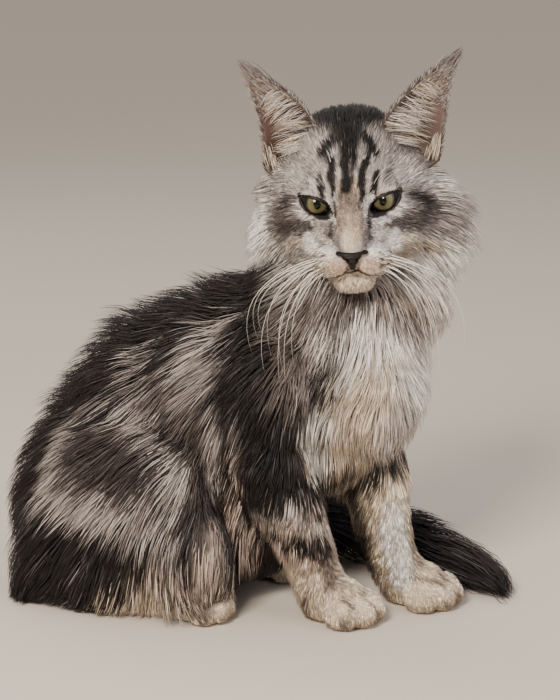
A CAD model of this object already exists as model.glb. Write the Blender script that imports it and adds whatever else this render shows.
"""Looks of a young silver tabby cat with a long coat, sitting, life size.

Places and sizes below are in millimetres in a working frame: the floor is z = 0, the chest faces -Y and the
cat's left side is +X. The head has a frame of its own, from midway between the eyes: x to the cat's right,
y forward along the muzzle, z up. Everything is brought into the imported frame, in metres, as its mesh is made.

One skin carries the whole body. The coat is solid tufts that start on the skin, follow the coat's lie over it
and close up into locks. The tabby markings are soft strokes in space, which skin and coat share.
"""

import logging
import math
import random
from dataclasses import dataclass, field, replace
from enum import Enum

import bmesh
import bpy
import numpy as np
from bmesh.types import BMesh, BMFace, BMVert
from bpy.types import Material, Mesh, Node, NodeSocket, NodeTree, Object
from mathutils import Matrix, Vector
from mathutils.bvhtree import BVHTree
from mathutils.kdtree import KDTree
from numpy.random import Generator

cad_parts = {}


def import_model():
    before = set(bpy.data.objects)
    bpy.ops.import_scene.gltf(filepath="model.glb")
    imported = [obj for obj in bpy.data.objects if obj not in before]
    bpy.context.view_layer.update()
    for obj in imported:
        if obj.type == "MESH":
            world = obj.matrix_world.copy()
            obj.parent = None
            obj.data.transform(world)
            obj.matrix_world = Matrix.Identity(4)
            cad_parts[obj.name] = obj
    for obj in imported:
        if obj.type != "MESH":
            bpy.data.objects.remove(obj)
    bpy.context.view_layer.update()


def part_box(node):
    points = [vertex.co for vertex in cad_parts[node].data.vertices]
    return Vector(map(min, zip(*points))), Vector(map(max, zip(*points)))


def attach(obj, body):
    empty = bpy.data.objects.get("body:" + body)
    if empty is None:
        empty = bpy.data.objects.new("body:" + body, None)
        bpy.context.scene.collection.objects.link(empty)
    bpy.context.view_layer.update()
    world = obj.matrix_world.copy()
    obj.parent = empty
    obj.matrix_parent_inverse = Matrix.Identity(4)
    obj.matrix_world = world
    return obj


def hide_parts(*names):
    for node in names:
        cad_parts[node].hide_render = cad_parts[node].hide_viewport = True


LOG = logging.getLogger("cat")
MM = 0.001
SEED = 11
BODY_MIDLINE = 12.0
REAR_MIDLINE = 8.0
FORE_MIDLINE = 18.0
EYE_OFFSET = 21.0
EYE_RADIUS = 9.6
EYE_DEPTH = -1.5
SIDES = {"right": 1, "left": -1}
SIDE_NAMES = {side: name for name, side in SIDES.items()}
COLOUR_LAYER = "coat_colour"
UPRIGHT = Vector((0.0, 0.0, 1.0))

# Tufts and skin end this far above the floor, so that neither lies in it.
SKIN_CLEARANCE = 0.7
TUFT_CLEARANCE = 0.6
LINE_CLEARANCE = 1.2

# The lids' opening of an eye, as seen from the front: away from the nose and up from the eye's middle.
LID_LINE = (
    (-9.2, -7.2), (-6.6, -7.7), (-2.6, -7.4), (3.0, -5.9), (7.4, -1.8), (9.6, 3.4),
    (10.2, 5.7), (4.6, 5.8), (-2.6, 3.4), (-7.0, -0.4), (-9.2, -4.6),
)

# The line of the mouth in the head's frame, from below the nose down and out to one corner.
MOUTH_LINE = (
    (0, 41, -31), (0, 40, -35), (0, 38.5, -39), (1.5, 37.5, -40.8), (7, 35, -41.4), (13, 31.5, -41.2),
    (19, 25, -39.8), (23, 16, -37),
)


class Part(Enum):
    """Parts of the body, as the coat knows them."""

    TORSO = 0
    NECK = 1
    HEAD = 2
    FORELEG_RIGHT = 3
    FORELEG_LEFT = 4
    FOREPAW_RIGHT = 5
    FOREPAW_LEFT = 6
    HINDLEG_RIGHT = 7
    HINDLEG_LEFT = 8
    HINDFOOT_RIGHT = 9
    HINDFOOT_LEFT = 10
    TAIL = 11
    EAR = 12


class Hue(Enum):
    """Colours of the coat, as sRGB hex values."""

    JET = "120e0f"
    CHARCOAL = "231d1f"
    SMOKE = "453b39"
    SLATE = "685d58"
    ASH = "8e8482"
    SILVER = "b4aba7"
    PEARL = "d2cac5"
    WHITE = "f7f2ec"
    CREAM = "e2d0ba"
    BLUSH = "cdb9ad"
    SAND = "bba690"
    TAN = "97826f"
    FAWN = "d2ae94"
    ROSE = "57433c"
    UMBER = "38281f"


def linear(code: str) -> tuple[float, float, float, float]:
    """Turns an sRGB hex colour into linear red, green, blue and alpha.

    Args:
        code: Six hex digits.

    Returns:
        The linear colour with an alpha of 1.
    """
    parts = [int(code[index:index + 2], 16) / 255.0 for index in (0, 2, 4)]
    red, green, blue = [c / 12.92 if c <= 0.04045 else ((c + 0.055) / 1.055) ** 2.4 for c in parts]
    return (red, green, blue, 1.0)


def unit(rows: np.ndarray) -> np.ndarray:
    """Scales each row to length 1."""
    return rows / np.maximum(np.linalg.norm(rows, axis=-1, keepdims=True), 1e-9)


def smooth_step(low: float, high: float, value: np.ndarray) -> np.ndarray:
    """Rises softly from 0 at low to 1 at high."""
    share = np.clip((value - low) / (high - low), 0.0, 1.0)
    return share * share * (3.0 - 2.0 * share)


class Noise:
    """Smooth seeded noise in space."""

    def __init__(self, seed: int) -> None:
        """Draws the lattice of random values."""
        self.lattice = np.random.default_rng(seed).random((32, 32, 32))

    def at(self, places: np.ndarray, size: float) -> np.ndarray:
        """Noise from -1 to 1 at each place.

        Args:
            places: Rows of x, y, z in millimetres.
            size: Width of one bump in millimetres.

        Returns:
            One value a row.
        """
        scaled = places / size
        cell = np.floor(scaled).astype(int)
        share = scaled - cell
        share = share * share * (3.0 - 2.0 * share)
        total = np.zeros(len(places))
        for corner in range(8):
            step = np.array([(corner >> axis) & 1 for axis in range(3)])
            weight = np.prod(np.where(step, share, 1.0 - share), axis=1)
            where = (cell + step) % 32
            total += weight * self.lattice[where[:, 0], where[:, 1], where[:, 2]]
        return total * 2.0 - 1.0


@dataclass
class Anatomy:
    """Where the head sits on the body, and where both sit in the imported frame."""

    eyes_middle: Vector = field(default_factory=lambda: Vector((-17.0, -90.0, 275.5)))
    yaw: float = math.radians(62.0)
    pitch: float = math.radians(-7.0)
    roll: float = math.radians(3.4)

    def __post_init__(self) -> None:
        """Works out the head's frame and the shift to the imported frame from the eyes' nodes."""
        level = Vector((-math.sin(self.yaw), -math.cos(self.yaw), 0.0))
        forward = level * math.cos(self.pitch) + Vector((0.0, 0.0, math.sin(self.pitch)))
        right = level.cross(UPRIGHT)
        up = right.cross(forward)
        rolled_right = right * math.cos(self.roll) - up * math.sin(self.roll)
        rolled_up = up * math.cos(self.roll) + right * math.sin(self.roll)
        turn = Matrix((rolled_right, forward, rolled_up)).transposed().to_4x4()
        self.head = Matrix.Translation(self.eyes_middle) @ turn
        self.turn = np.array(self.head.to_3x3())
        self.origin = np.array(self.head.translation)
        corners = [Vector(corner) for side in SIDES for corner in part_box(f"eye_{side}")]
        middle = sum(corners, Vector()) / len(corners)
        self.shift = self.head @ Vector((0.0, EYE_DEPTH, 0.0)) - middle / MM
        self.to_packed = Matrix.Scale(MM, 4) @ Matrix.Translation(-self.shift)
        self.head_to_packed = self.to_packed @ self.head

    def from_head(self, rows: np.ndarray) -> np.ndarray:
        """Places in the head's frame, brought into the working frame."""
        return rows @ self.turn.T + self.origin

    def into_head(self, rows: np.ndarray) -> np.ndarray:
        """Places in the working frame, brought into the head's frame."""
        return (rows - self.origin) @ self.turn

    def turned(self, rows: np.ndarray) -> np.ndarray:
        """Directions in the head's frame, turned into the working frame."""
        return rows @ self.turn.T

    def packed(self, rows: np.ndarray) -> np.ndarray:
        """Places in the working frame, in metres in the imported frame."""
        return (rows - np.array(self.shift)) * MM


def egg(centre: tuple, radii: tuple, pitch: float = 0.0, yaw: float = 0.0) -> Matrix:
    """An ellipsoid's matrix.

    Args:
        centre: Its middle.
        radii: Its half sizes.
        pitch: Its tip about X, in degrees.
        yaw: Its turn about Z afterwards, in degrees.

    Returns:
        The matrix that makes a unit ball into it.
    """
    turn = Matrix.Rotation(math.radians(yaw), 4, "Z") @ Matrix.Rotation(math.radians(pitch), 4, "X")
    return Matrix.Translation(centre) @ turn @ Matrix.Diagonal((*radii, 1.0))


def both(centre: tuple, radii: tuple) -> list[Matrix]:
    """The same egg on both sides of the head."""
    return [egg(centre, radii), egg((-centre[0], *centre[1:]), radii)]


def chain(stations: tuple, spacing: float = 5.0) -> list[Matrix]:
    """Balls along stations of x, y, z and radius.

    Args:
        stations: The stations in order.
        spacing: Distance from ball to ball.

    Returns:
        One matrix a ball.
    """
    balls = []
    for start, end in zip(stations, stations[1:]):
        here, there = Vector(start[:3]), Vector(end[:3])
        count = max(1, round((there - here).length / spacing))
        for step in range(count + 1):
            radius = start[3] + (end[3] - start[3]) * step / count
            balls.append(egg(here.lerp(there, step / count), (radius, radius, radius)))
    return balls


def link(mesh: BMesh, name: str) -> Object:
    """An object in the scene that holds this bmesh."""
    data = bpy.data.meshes.new(name)
    mesh.to_mesh(data)
    mesh.free()
    piece = bpy.data.objects.new(name, data)
    bpy.context.scene.collection.objects.link(piece)
    return piece


def settle(piece: Object) -> None:
    """Makes the evaluated mesh, with its modifiers, the piece's own."""
    bpy.context.view_layer.update()
    graph = bpy.context.evaluated_depsgraph_get()
    made = bpy.data.meshes.new_from_object(piece.evaluated_get(graph))
    made.materials.clear()
    piece.modifiers.clear()
    piece.data = made


def clay(name: str, lumps: list[Matrix], voxel: float, rounds: int) -> Object:
    """One smooth closed form melted together from eggs.

    Args:
        name: The object's name.
        lumps: The eggs' matrices.
        voxel: Size of the grid that they are melted on.
        rounds: Rounds of smoothing.

    Returns:
        The new object.
    """
    mesh = bmesh.new()
    for lump in lumps:
        bmesh.ops.create_icosphere(mesh, subdivisions=3, radius=1.0, matrix=lump)
    piece = link(mesh, name)
    melt = piece.modifiers.new("melt", "REMESH")
    melt.mode = "VOXEL"
    melt.voxel_size = voxel
    soften = piece.modifiers.new("soften", "SMOOTH")
    soften.factor = 0.5
    soften.iterations = rounds
    settle(piece)
    return piece


def combine(piece: Object, others: list[Object], operation: str, solver: str) -> None:
    """One Boolean with several closed meshes, which are then removed.

    Args:
        piece: The object that is changed.
        others: The objects that are joined to it or cut from it.
        operation: UNION or DIFFERENCE.
        solver: EXACT or MANIFOLD.
    """
    tools = bpy.data.collections.new("tools")
    for other in others:
        bpy.context.scene.collection.objects.unlink(other)
        tools.objects.link(other)
    step = piece.modifiers.new("combine", "BOOLEAN")
    step.operation = operation
    step.operand_type = "COLLECTION"
    step.collection = tools
    step.solver = solver
    bpy.context.scene.collection.children.link(tools)
    settle(piece)
    for other in others:
        bpy.data.objects.remove(other)
    bpy.data.collections.remove(tools)


def add_node(tree: NodeTree, kind: str, settings: dict | None = None,
             links: dict | None = None) -> Node:
    """Adds a node with its settings and links.

    Args:
        tree: The node tree.
        kind: The node's type.
        settings: Values of its properties, or of its inputs where a key names one or is its number.
        links: Output sockets by the input that each goes to.

    Returns:
        The new node.
    """
    node = tree.nodes.new(kind)
    names = {socket.name for socket in node.inputs}
    for key, value in (settings or {}).items():
        if isinstance(key, int) or key in names:
            node.inputs[key].default_value = value
        else:
            setattr(node, key, value)
    for key, source in (links or {}).items():
        tree.links.new(source, node.inputs[key])
    return node


def read(data: bpy.types.bpy_prop_collection, name: str, width: int, kind: type = float) -> np.ndarray:
    """One property of every element, as rows of so many values."""
    values = np.empty(len(data) * width, kind)
    data.foreach_get(name, values)
    return values.reshape(-1, width)


def write_colours(mesh: Mesh, colours: np.ndarray) -> None:
    """Writes a coat colour on every vertex, from rows of linear red, green, blue and alpha."""
    layer = mesh.attributes.new(COLOUR_LAYER, "FLOAT_COLOR", "POINT")
    layer.data.foreach_set("color", colours.ravel())


def dress(piece: Object, material: Material, hue: Hue | None = None) -> Object:
    """Gives a piece smooth shading, its material and, where its finish reads one, an even coat colour."""
    piece.data.shade_smooth()
    piece.data.materials.append(material)
    if hue:
        write_colours(piece.data, np.tile(linear(hue.value), (len(piece.data.vertices), 1)))
    return piece


class Finish:
    """What every finish shares: a material whose surface it makes from nodes."""

    name = ""

    def make(self) -> Material:
        """Builds the material."""
        material = bpy.data.materials.new(self.name)
        material.use_nodes = True
        tree = material.node_tree
        tree.nodes.clear()
        shader = self.surface(tree)
        add_node(tree, "ShaderNodeOutputMaterial", links={"Surface": shader.outputs[0]})
        return material

    def surface(self, tree: NodeTree) -> Node:
        """Makes the surface's nodes and gives the shader."""
        raise NotImplementedError

    def grain(self, tree: NodeTree, kind: str, size: float, detail: float | None = None) -> Node:
        """A texture on Object coordinates.

        Args:
            tree: The node tree.
            kind: The texture node's type.
            size: Width of its grain, in millimetres.
            detail: Its detail, where it isn't the node's own.

        Returns:
            The texture's node.
        """
        settings = {"Scale": 1.0 / (size * MM)}
        if detail is not None:
            settings["Detail"] = detail
        place = add_node(tree, "ShaderNodeTexCoord")
        return add_node(tree, kind, settings, {"Vector": place.outputs["Object"]})

    def toned(self, tree: NodeTree, colour: str | None, value: NodeSocket, low: float,
              high: float) -> NodeSocket:
        """A colour that a pattern makes darker and lighter.

        Args:
            tree: The node tree.
            colour: Its hex value, or None for the coat colour of the piece's vertices.
            value: The pattern, from 0 to 1.
            low: Brightness where the pattern is 0.
            high: Brightness where it is 1.

        Returns:
            The socket of the shaded colour.
        """
        tone = add_node(tree, "ShaderNodeMapRange", {"To Min": low, "To Max": high}, {"Value": value})
        scale = {"Scale": tone.outputs[0]}
        if colour:
            settings = {"operation": "SCALE", 0: linear(colour)[:3]}
            return add_node(tree, "ShaderNodeVectorMath", settings, scale).outputs[0]
        coat = add_node(tree, "ShaderNodeAttribute", {"attribute_name": COLOUR_LAYER})
        scale[0] = coat.outputs["Color"]
        return add_node(tree, "ShaderNodeVectorMath", {"operation": "SCALE"}, scale).outputs[0]


@dataclass(frozen=True)
class HairFinish(Finish):
    """Cat's hair: a smooth scaled keratin shaft that takes a soft lengthwise gloss, coloured root to tip."""

    name: str = "hair keratin"
    roughness: float = 0.58
    ior: float = 1.55
    streak_mm: float = 2.2

    def surface(self, tree: NodeTree) -> Node:
        """Makes the surface's nodes and gives the shader."""
        mottle = self.grain(tree, "ShaderNodeTexNoise", self.streak_mm)
        shaded = self.toned(tree, None, mottle.outputs["Fac"], 0.82, 1.2)
        return add_node(tree, "ShaderNodeBsdfPrincipled",
                        {"Roughness": self.roughness, "IOR": self.ior, "Specular IOR Level": 0.35},
                        {"Base Color": shaded})


@dataclass(frozen=True)
class UndercoatFinish(Finish):
    """Skin under the coat with its felted short down, which shows only where the tufts part."""

    name: str = "felted undercoat"
    roughness: float = 0.85
    down_mm: float = 0.9
    bump_mm: float = 0.5

    def surface(self, tree: NodeTree) -> Node:
        """Makes the surface's nodes and gives the shader."""
        down = self.grain(tree, "ShaderNodeTexNoise", self.down_mm, 3.0)
        shaded = self.toned(tree, None, down.outputs["Fac"], 0.55, 1.05)
        bump = add_node(tree, "ShaderNodeBump", {"Strength": 0.6, "Distance": self.bump_mm * MM},
                        {"Height": down.outputs["Fac"]})
        return add_node(tree, "ShaderNodeBsdfPrincipled", {"Roughness": self.roughness, "IOR": 1.45},
                        {"Base Color": shaded, "Normal": bump.outputs[0]})


@dataclass(frozen=True)
class BareSkinFinish(Finish):
    """Bare skin, as in the ear, on the lids and lips: thin, finely pebbled and a little moist."""

    name: str = "bare skin"
    roughness: float = 0.5
    pebble_mm: float = 0.5
    pebble_depth_mm: float = 0.12
    blotch_mm: float = 6.0

    def surface(self, tree: NodeTree) -> Node:
        """Makes the surface's nodes and gives the shader."""
        pebble = self.grain(tree, "ShaderNodeTexVoronoi", self.pebble_mm)
        blotch = self.grain(tree, "ShaderNodeTexNoise", self.blotch_mm, 3.0)
        shaded = self.toned(tree, None, blotch.outputs["Fac"], 0.8, 1.15)
        bump = add_node(tree, "ShaderNodeBump", {"Strength": 0.35, "Distance": self.pebble_depth_mm * MM},
                        {"Height": pebble.outputs["Distance"]})
        return add_node(tree, "ShaderNodeBsdfPrincipled",
                        {"Roughness": self.roughness, "IOR": 1.4, "Subsurface Weight": 0.05,
                         "Subsurface Radius": (0.004, 0.0015, 0.001), "Subsurface Scale": 0.5},
                        {"Base Color": shaded, "Normal": bump.outputs[0]})


@dataclass(frozen=True)
class EyeFinish(Finish):
    """A cat's eye: wet clear cornea over a streaked iris, an upright oval pupil and a dark brown white.

    The pupil's and the iris's half widths are in millimetres. Slimness is how much narrower than high the
    pupil is, before the flatness that it has upright.
    """

    name: str = "wet cornea over iris"
    pupil: float = 2.9
    slimness: float = 1.3
    flatness: float = 0.92
    iris: float = 6.9
    inner: str = "4c4a32"
    middle: str = "625d40"
    outer: str = "423c2a"
    rim: str = "100c0a"
    white: str = "0c0908"

    def surface(self, tree: NodeTree) -> Node:
        """Makes the nodes, which read the eye's map of its gaze in eye radii, and gives the shader."""
        gaze = add_node(tree, "ShaderNodeUVMap", {"uv_map": "gaze"})
        away = add_node(tree, "ShaderNodeVectorMath", {"operation": "LENGTH"}, {0: gaze.outputs[0]})
        parts = add_node(tree, "ShaderNodeSeparateXYZ", links={0: gaze.outputs[0]})
        angle = add_node(tree, "ShaderNodeMath", {"operation": "ARCTAN2"},
                         {0: parts.outputs[0], 1: parts.outputs[1]})
        polar = add_node(tree, "ShaderNodeCombineXYZ", links={0: angle.outputs[0], 1: away.outputs["Value"]})
        stretch = add_node(tree, "ShaderNodeVectorMath", {"operation": "MULTIPLY", 1: (9.0, 3.0, 1.0)},
                           {0: polar.outputs[0]})
        streak = add_node(tree, "ShaderNodeTexNoise", {"Scale": 1.6, "Detail": 4.0},
                          {"Vector": stretch.outputs[0]})
        wobble = add_node(tree, "ShaderNodeMapRange", {"To Min": -0.035, "To Max": 0.035},
                          {"Value": streak.outputs["Fac"]})
        reach = add_node(tree, "ShaderNodeMath", {"operation": "ADD"},
                         {0: away.outputs["Value"], 1: wobble.outputs[0]})
        ramp = add_node(tree, "ShaderNodeValToRGB", links={0: reach.outputs[0]})
        border = self.iris / EYE_RADIUS
        stops = ((0.0, self.inner), (0.32, self.inner), (0.56, self.middle), (border - 0.09, self.outer),
                 (border, self.rim), (1.0, self.white))
        for _ in stops[2:]:
            ramp.color_ramp.elements.new(0.5)
        for element, (position, code) in zip(ramp.color_ramp.elements, stops):
            element.position = position
            element.color = linear(code)
        tone = add_node(tree, "ShaderNodeMapRange", {"To Min": 0.7, "To Max": 1.35},
                        {"Value": streak.outputs["Fac"]})
        oval = add_node(tree, "ShaderNodeVectorMath",
                        {"operation": "MULTIPLY", 1: (self.slimness, self.flatness, 1.0)},
                        {0: gaze.outputs[0]})
        within = add_node(tree, "ShaderNodeVectorMath", {"operation": "LENGTH"}, {0: oval.outputs[0]})
        edge = self.pupil / EYE_RADIUS
        light = add_node(tree, "ShaderNodeMapRange",
                         {"From Min": edge - 0.015, "From Max": edge + 0.02, "To Min": 0.015, "To Max": 1.0},
                         {"Value": within.outputs["Value"]})
        scale = add_node(tree, "ShaderNodeMath", {"operation": "MULTIPLY"},
                         {0: tone.outputs[0], 1: light.outputs[0]})
        shaded = add_node(tree, "ShaderNodeVectorMath", {"operation": "SCALE"},
                          {0: ramp.outputs[0], "Scale": scale.outputs[0]})
        return add_node(tree, "ShaderNodeBsdfPrincipled",
                        {"Roughness": 0.6, "Specular IOR Level": 0.0, "Coat Weight": 1.0,
                         "Coat Roughness": 0.02, "Coat IOR": 1.376},
                        {"Base Color": shaded.outputs[0]})


@dataclass(frozen=True)
class LeatherFinish(Finish):
    """Nose leather: dark pebbled bare skin, moist along the nostrils."""

    name: str = "nose leather"
    code: str = "130d0e"
    pebble_mm: float = 0.45
    pebble_depth_mm: float = 0.15

    def surface(self, tree: NodeTree) -> Node:
        """Makes the surface's nodes and gives the shader."""
        height = self.grain(tree, "ShaderNodeTexVoronoi", self.pebble_mm).outputs["Distance"]
        shaded = self.toned(tree, self.code, height, 1.25, 0.6)
        bump = add_node(tree, "ShaderNodeBump",
                        {"Strength": 0.5, "Distance": self.pebble_depth_mm * MM, "invert": True},
                        {"Height": height})
        return add_node(tree, "ShaderNodeBsdfPrincipled",
                        {"Roughness": 0.5, "IOR": 1.4, "Specular IOR Level": 0.3},
                        {"Base Color": shaded, "Normal": bump.outputs[0]})


@dataclass(frozen=True)
class WhiskerFinish(Finish):
    """Whiskers: stiff white keratin, smooth and slightly glossy."""

    name: str = "whisker keratin"
    code: str = "efe9e0"
    streak_mm: float = 9.0

    def surface(self, tree: NodeTree) -> Node:
        """Makes the surface's nodes and gives the shader."""
        streak = self.grain(tree, "ShaderNodeTexNoise", self.streak_mm)
        shaded = self.toned(tree, self.code, streak.outputs["Fac"], 0.85, 1.05)
        return add_node(tree, "ShaderNodeBsdfPrincipled", {"Roughness": 0.35, "IOR": 1.55},
                        {"Base Color": shaded})


@dataclass(frozen=True)
class FloorFinish(Finish):
    """Plain pale matt studio floor."""

    name: str = "matt studio paper"
    code: str = "cfc6bb"

    def surface(self, tree: NodeTree) -> Node:
        """Makes the surface's one node, the shader."""
        return add_node(tree, "ShaderNodeBsdfPrincipled", {"Base Color": linear(self.code), "Roughness": 0.9})


@dataclass(frozen=True)
class Stroke:
    """One marking: a soft stroke of colour along a line in space."""

    hue: Hue
    points: tuple
    radius: float
    softness: float
    strength: float = 1.0
    mirrored: bool = False


# Each row of strokes gives a Stroke's fields in their order.
BODY_STROKES = (
    (Hue.CHARCOAL, ((12, -4, 214), (12, 28, 204), (12, 60, 190), (12, 100, 160), (12, 130, 126),
                    (12, 152, 84), (12, 160, 30)), 44, 16),
    (Hue.CHARCOAL, ((56, -50, 250), (46, -34, 236), (30, -16, 222)), 20, 14, 0.9),
    (Hue.SMOKE, ((-52, 52, 114), (-61, 74, 98), (-66, 36, 81)), 14, 9, 0.95, True),
    (Hue.SLATE, ((-49, 22, 142), (-50, 14, 128)), 8, 8, 0.7, True),
    (Hue.SMOKE, ((-40, 12, 128), (-44, 11, 102), (-55, 9, 82), (-61, -4, 63)), 7, 6, 0.85, True),
    (Hue.SILVER, ((-24, 60, 156), (-31, 58, 147), (-35, 48, 140)), 6, 4, 1.0, True),
    (Hue.ASH, ((-30, 59, 150), (-35, 47, 141), (-38, 36, 128)), 4, 4, 0.85, True),
    (Hue.SILVER, ((-16, -4, 188), (-19, 9, 179), (-30, 15, 167), (-36, 23, 155)), 7, 5, 0.95, True),
    (Hue.PEARL, ((-18, 4, 182), (-28, 13, 169)), 3, 4, 0.6, True),
    (Hue.SILVER, ((-29, -3, 164), (-35, 3, 152), (-39, 13, 143)), 5.5, 5, 0.85, True),
    (Hue.SILVER, ((-36, -3, 138), (-36, -4, 123), (-35, 0, 110), (-30, -2, 92)), 4.5, 5, 0.85, True),
    (Hue.ASH, ((-40, 19, 137), (-40, 16, 125)), 4, 5, 0.7, True),
    (Hue.ASH, ((-6, 125, 113), (2, 121, 118)), 2, 3, 0.7, True),
    (Hue.ASH, ((-26, 107, 111), (-39, 83, 123), (-42, 67, 130)), 1.3, 2.6, 0.8, True),
    (Hue.SILVER, ((-43, 68, 125), (-44, 50, 120), (-51, 29, 109), (-55, 18, 96), (-59, 14, 78)),
     5.5, 4.5, 1.0, True),
    (Hue.PEARL, ((-48, 38, 114), (-53, 24, 103), (-57, 16, 88)), 3, 4, 0.8, True),
    (Hue.SILVER, ((-38, 100, 104), (-42, 104, 90), (-50, 98, 76), (-62, 84, 70)), 8, 6, 1.0, True),
    (Hue.SILVER, ((-60, 100, 69), (-69, 70, 65), (-69, 48, 64), (-66, 30, 58)), 9, 6, 1.0, True),
    (Hue.SILVER, ((-66, 30, 58), (-67, 10, 49)), 5, 5, 0.85, True),
    (Hue.PEARL, ((-62, 92, 69), (-69, 68, 65), (-69, 48, 64)), 5, 5, 0.7, True),
    (Hue.BLUSH, ((-56, -15, 54), (-59, -11, 33)), 6, 7, 0.6, True),
    (Hue.BLUSH, ((-24, -9, 77), (-18, -11, 58), (-14, -11, 45)), 6, 6, 0.9, True),
    (Hue.BLUSH, ((-57, 36, 22), (-65, 9, 30), (-63, -5, 30)), 5, 5, 0.8, True),
    (Hue.SILVER, ((-65, 83, 26), (-64, 70, 31)), 2, 3, 0.6, True),
    (Hue.SILVER, ((-52, 122, 48), (-49, 126, 52)), 2, 3, 0.6, True),
    (Hue.JET, ((-28, -21, 190), (-45, -39, 169), (-53, -39, 145), (-51, -42, 120), (-48, -45, 100)),
     12, 8, 0.95, True),
    (Hue.JET, ((-46, -50, 151), (-45, -60, 127), (-42, -55, 100), (-32, -64, 89)), 13, 8, 0.95, True),
    (Hue.JET, ((-42, -33, 103), (-40, -41, 94), (-35, -54, 98)), 9, 5, 0.95, True),
    (Hue.JET, ((-32, -57, 91), (-36, -44, 83), (-26, -24, 76)), 8, 4, 0.95, True),
    (Hue.ASH, ((-38, -22, 125), (-37, -25, 111)), 3.5, 5, 0.8, True),
)

BIB_STROKES = (
    (Hue.SLATE, ((-30, -55, 201), (-36, -56, 185), (-40, -57, 167), (-41, -63, 152)), 12, 8, 0.8),
    (Hue.ASH, ((-13, -66, 170), (-18, -63, 158), (-28, -59, 152)), 8, 6, 0.8),
    (Hue.SILVER, ((-31, -63, 196), (-29, -76, 194)), 4, 5, 0.8),
    (Hue.WHITE, ((-15, -53, 193), (-9, -60, 186)), 4, 5, 0.8),
    (Hue.WHITE, ((-19, -90, 181), (-2, -104, 172), (34, -107, 149)), 10, 7, 0.9),
    (Hue.CREAM, ((-2, -104, 159), (-3, -83, 137), (7, -75, 110), (20, -70, 92)), 13, 9, 0.75),
    (Hue.WHITE, ((10, -119, 171), (12, -119, 150)), 7, 7, 0.7),
    (Hue.SILVER, ((13, -113, 131), (43, -94, 106), (61, -85, 103)), 9, 7, 0.8),
    (Hue.CHARCOAL, ((31, -70, 81), (35, -86, 92), (59, -88, 93)), 7, 5, 0.95),
    (Hue.CHARCOAL, ((38, -102, 138), (36, -100, 128)), 3, 4, 0.7),
    (Hue.WHITE, ((-21, -61, 138), (-10, -74, 134)), 5, 4, 0.95),
    (Hue.WHITE, ((-22, -58, 125), (-11, -59, 115)), 5, 4, 0.95),
    (Hue.WHITE, ((-11, -58, 106), (-4, -63, 100)), 6, 4, 0.95),
    (Hue.JET, ((-20, -87, 189), (-16, -81, 172), (-13, -74, 159), (-19, -63, 149), (-27, -60, 142)),
     2.4, 3, 0.95),
    (Hue.JET, ((1, -78, 86), (18, -81, 86), (32, -91, 90)), 6, 5, 0.9),
    (Hue.SMOKE, ((-29, -77, 207), (-26, -91, 213), (-18, -103, 213)), 5, 6, 0.85),
    (Hue.SMOKE, ((-9, -99, 208), (3, -108, 197), (24, -112, 193)), 5, 5, 0.95),
    (Hue.SLATE, ((-11, -65, 208), (-19, -85, 201), (-10, -96, 211)), 6, 6, 0.8),
    (Hue.TAN, ((-1, -104, 213), (30, -113, 202)), 4, 5, 0.8),
)

LEG_STROKES = (
    (Hue.JET, ((-46, -49, 106), (-38, -60, 100), (-26, -67, 90), (4, -65, 82)), 11, 5, 0.95),
    (Hue.JET, ((-32, -57, 91), (-36, -44, 83), (-24, -22, 78)), 9, 4, 0.95),
    (Hue.CHARCOAL, ((-18, -20, 74), (-6, -36, 34)), 6, 5, 0.8),
    (Hue.SILVER, ((-26, -36, 68), (-32, -53, 72), (-20, -67, 67), (-8, -72, 63)), 4.5, 4, 0.95),
    (Hue.JET, ((-26, -36, 54), (-28, -58, 55), (-12, -73, 50)), 6.5, 3.5, 1.0),
    (Hue.CREAM, ((-24, -50, 36), (-17, -54, 24)), 4, 4, 0.7),
    (Hue.SMOKE, ((-17, -69, 45), (-12, -73, 35), (-16, -73, 26)), 4, 4, 0.75),
    (Hue.SLATE, ((-6, -74, 40), (-9, -80, 29)), 4, 5, 0.6),
    (Hue.SMOKE, ((-22, -60, 14), (-16, -60, 4)), 3.5, 4, 0.8),
    (Hue.CREAM, ((29, -80, 70), (30, -87, 61), (35, -83, 26)), 5, 4, 0.8),
    (Hue.WHITE, ((36, -96, 65), (36, -97, 47), (38, -100, 26)), 9, 5, 1.0),
    (Hue.JET, ((36, -66, 84), (34, -70, 56), (38, -74, 26)), 6, 4, 0.9),
    (Hue.SMOKE, ((34, -73, 54), (33, -78, 48)), 5, 4, 0.9),
    (Hue.SLATE, ((40, -87, 11), (41, -90, 6)), 4, 4, 0.7),
    (Hue.SLATE, ((53, -96, 60), (50, -107, 28)), 2.5, 4, 0.7),
    (Hue.SMOKE, ((-14, -87, 20), (-19, -92, 12), (-24, -94, 6)), 1.8, 2, 0.8),
    (Hue.SMOKE, ((-3, -84, 23), (-3, -96, 18), (-3, -105, 8)), 1.8, 2.4, 0.8),
    (Hue.SMOKE, ((8, -78, 22), (8.5, -92, 18), (8, -101, 8)), 1.5, 2.4, 0.75),
    (Hue.SMOKE, ((43, -106, 22), (45, -120, 18), (44, -131, 8)), 1.6, 2.4, 0.75),
    (Hue.SMOKE, ((54, -112, 23), (54, -124, 18), (54, -133, 8)), 1.5, 2.4, 0.7),
    (Hue.SMOKE, ((65, -106, 22), (65.5, -120, 18), (65, -129, 8)), 1.5, 2.4, 0.7),
    (Hue.TAN, ((-26, -74, 3), (-20, -98, 3), (-3, -107, 3), (14, -98, 3)), 2.5, 4, 0.8),
    (Hue.TAN, ((31, -102, 3), (37, -126, 3), (54, -135, 3), (71, -126, 3)), 2.5, 4, 0.8),
    (Hue.SMOKE, ((-57, 1, 14), (-60, -8, 11)), 6, 5, 0.85),
    (Hue.TAN, ((-58, -20, 3), (-44, -24, 3), (-30, -16, 3)), 2.5, 4, 0.8),
)

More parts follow.
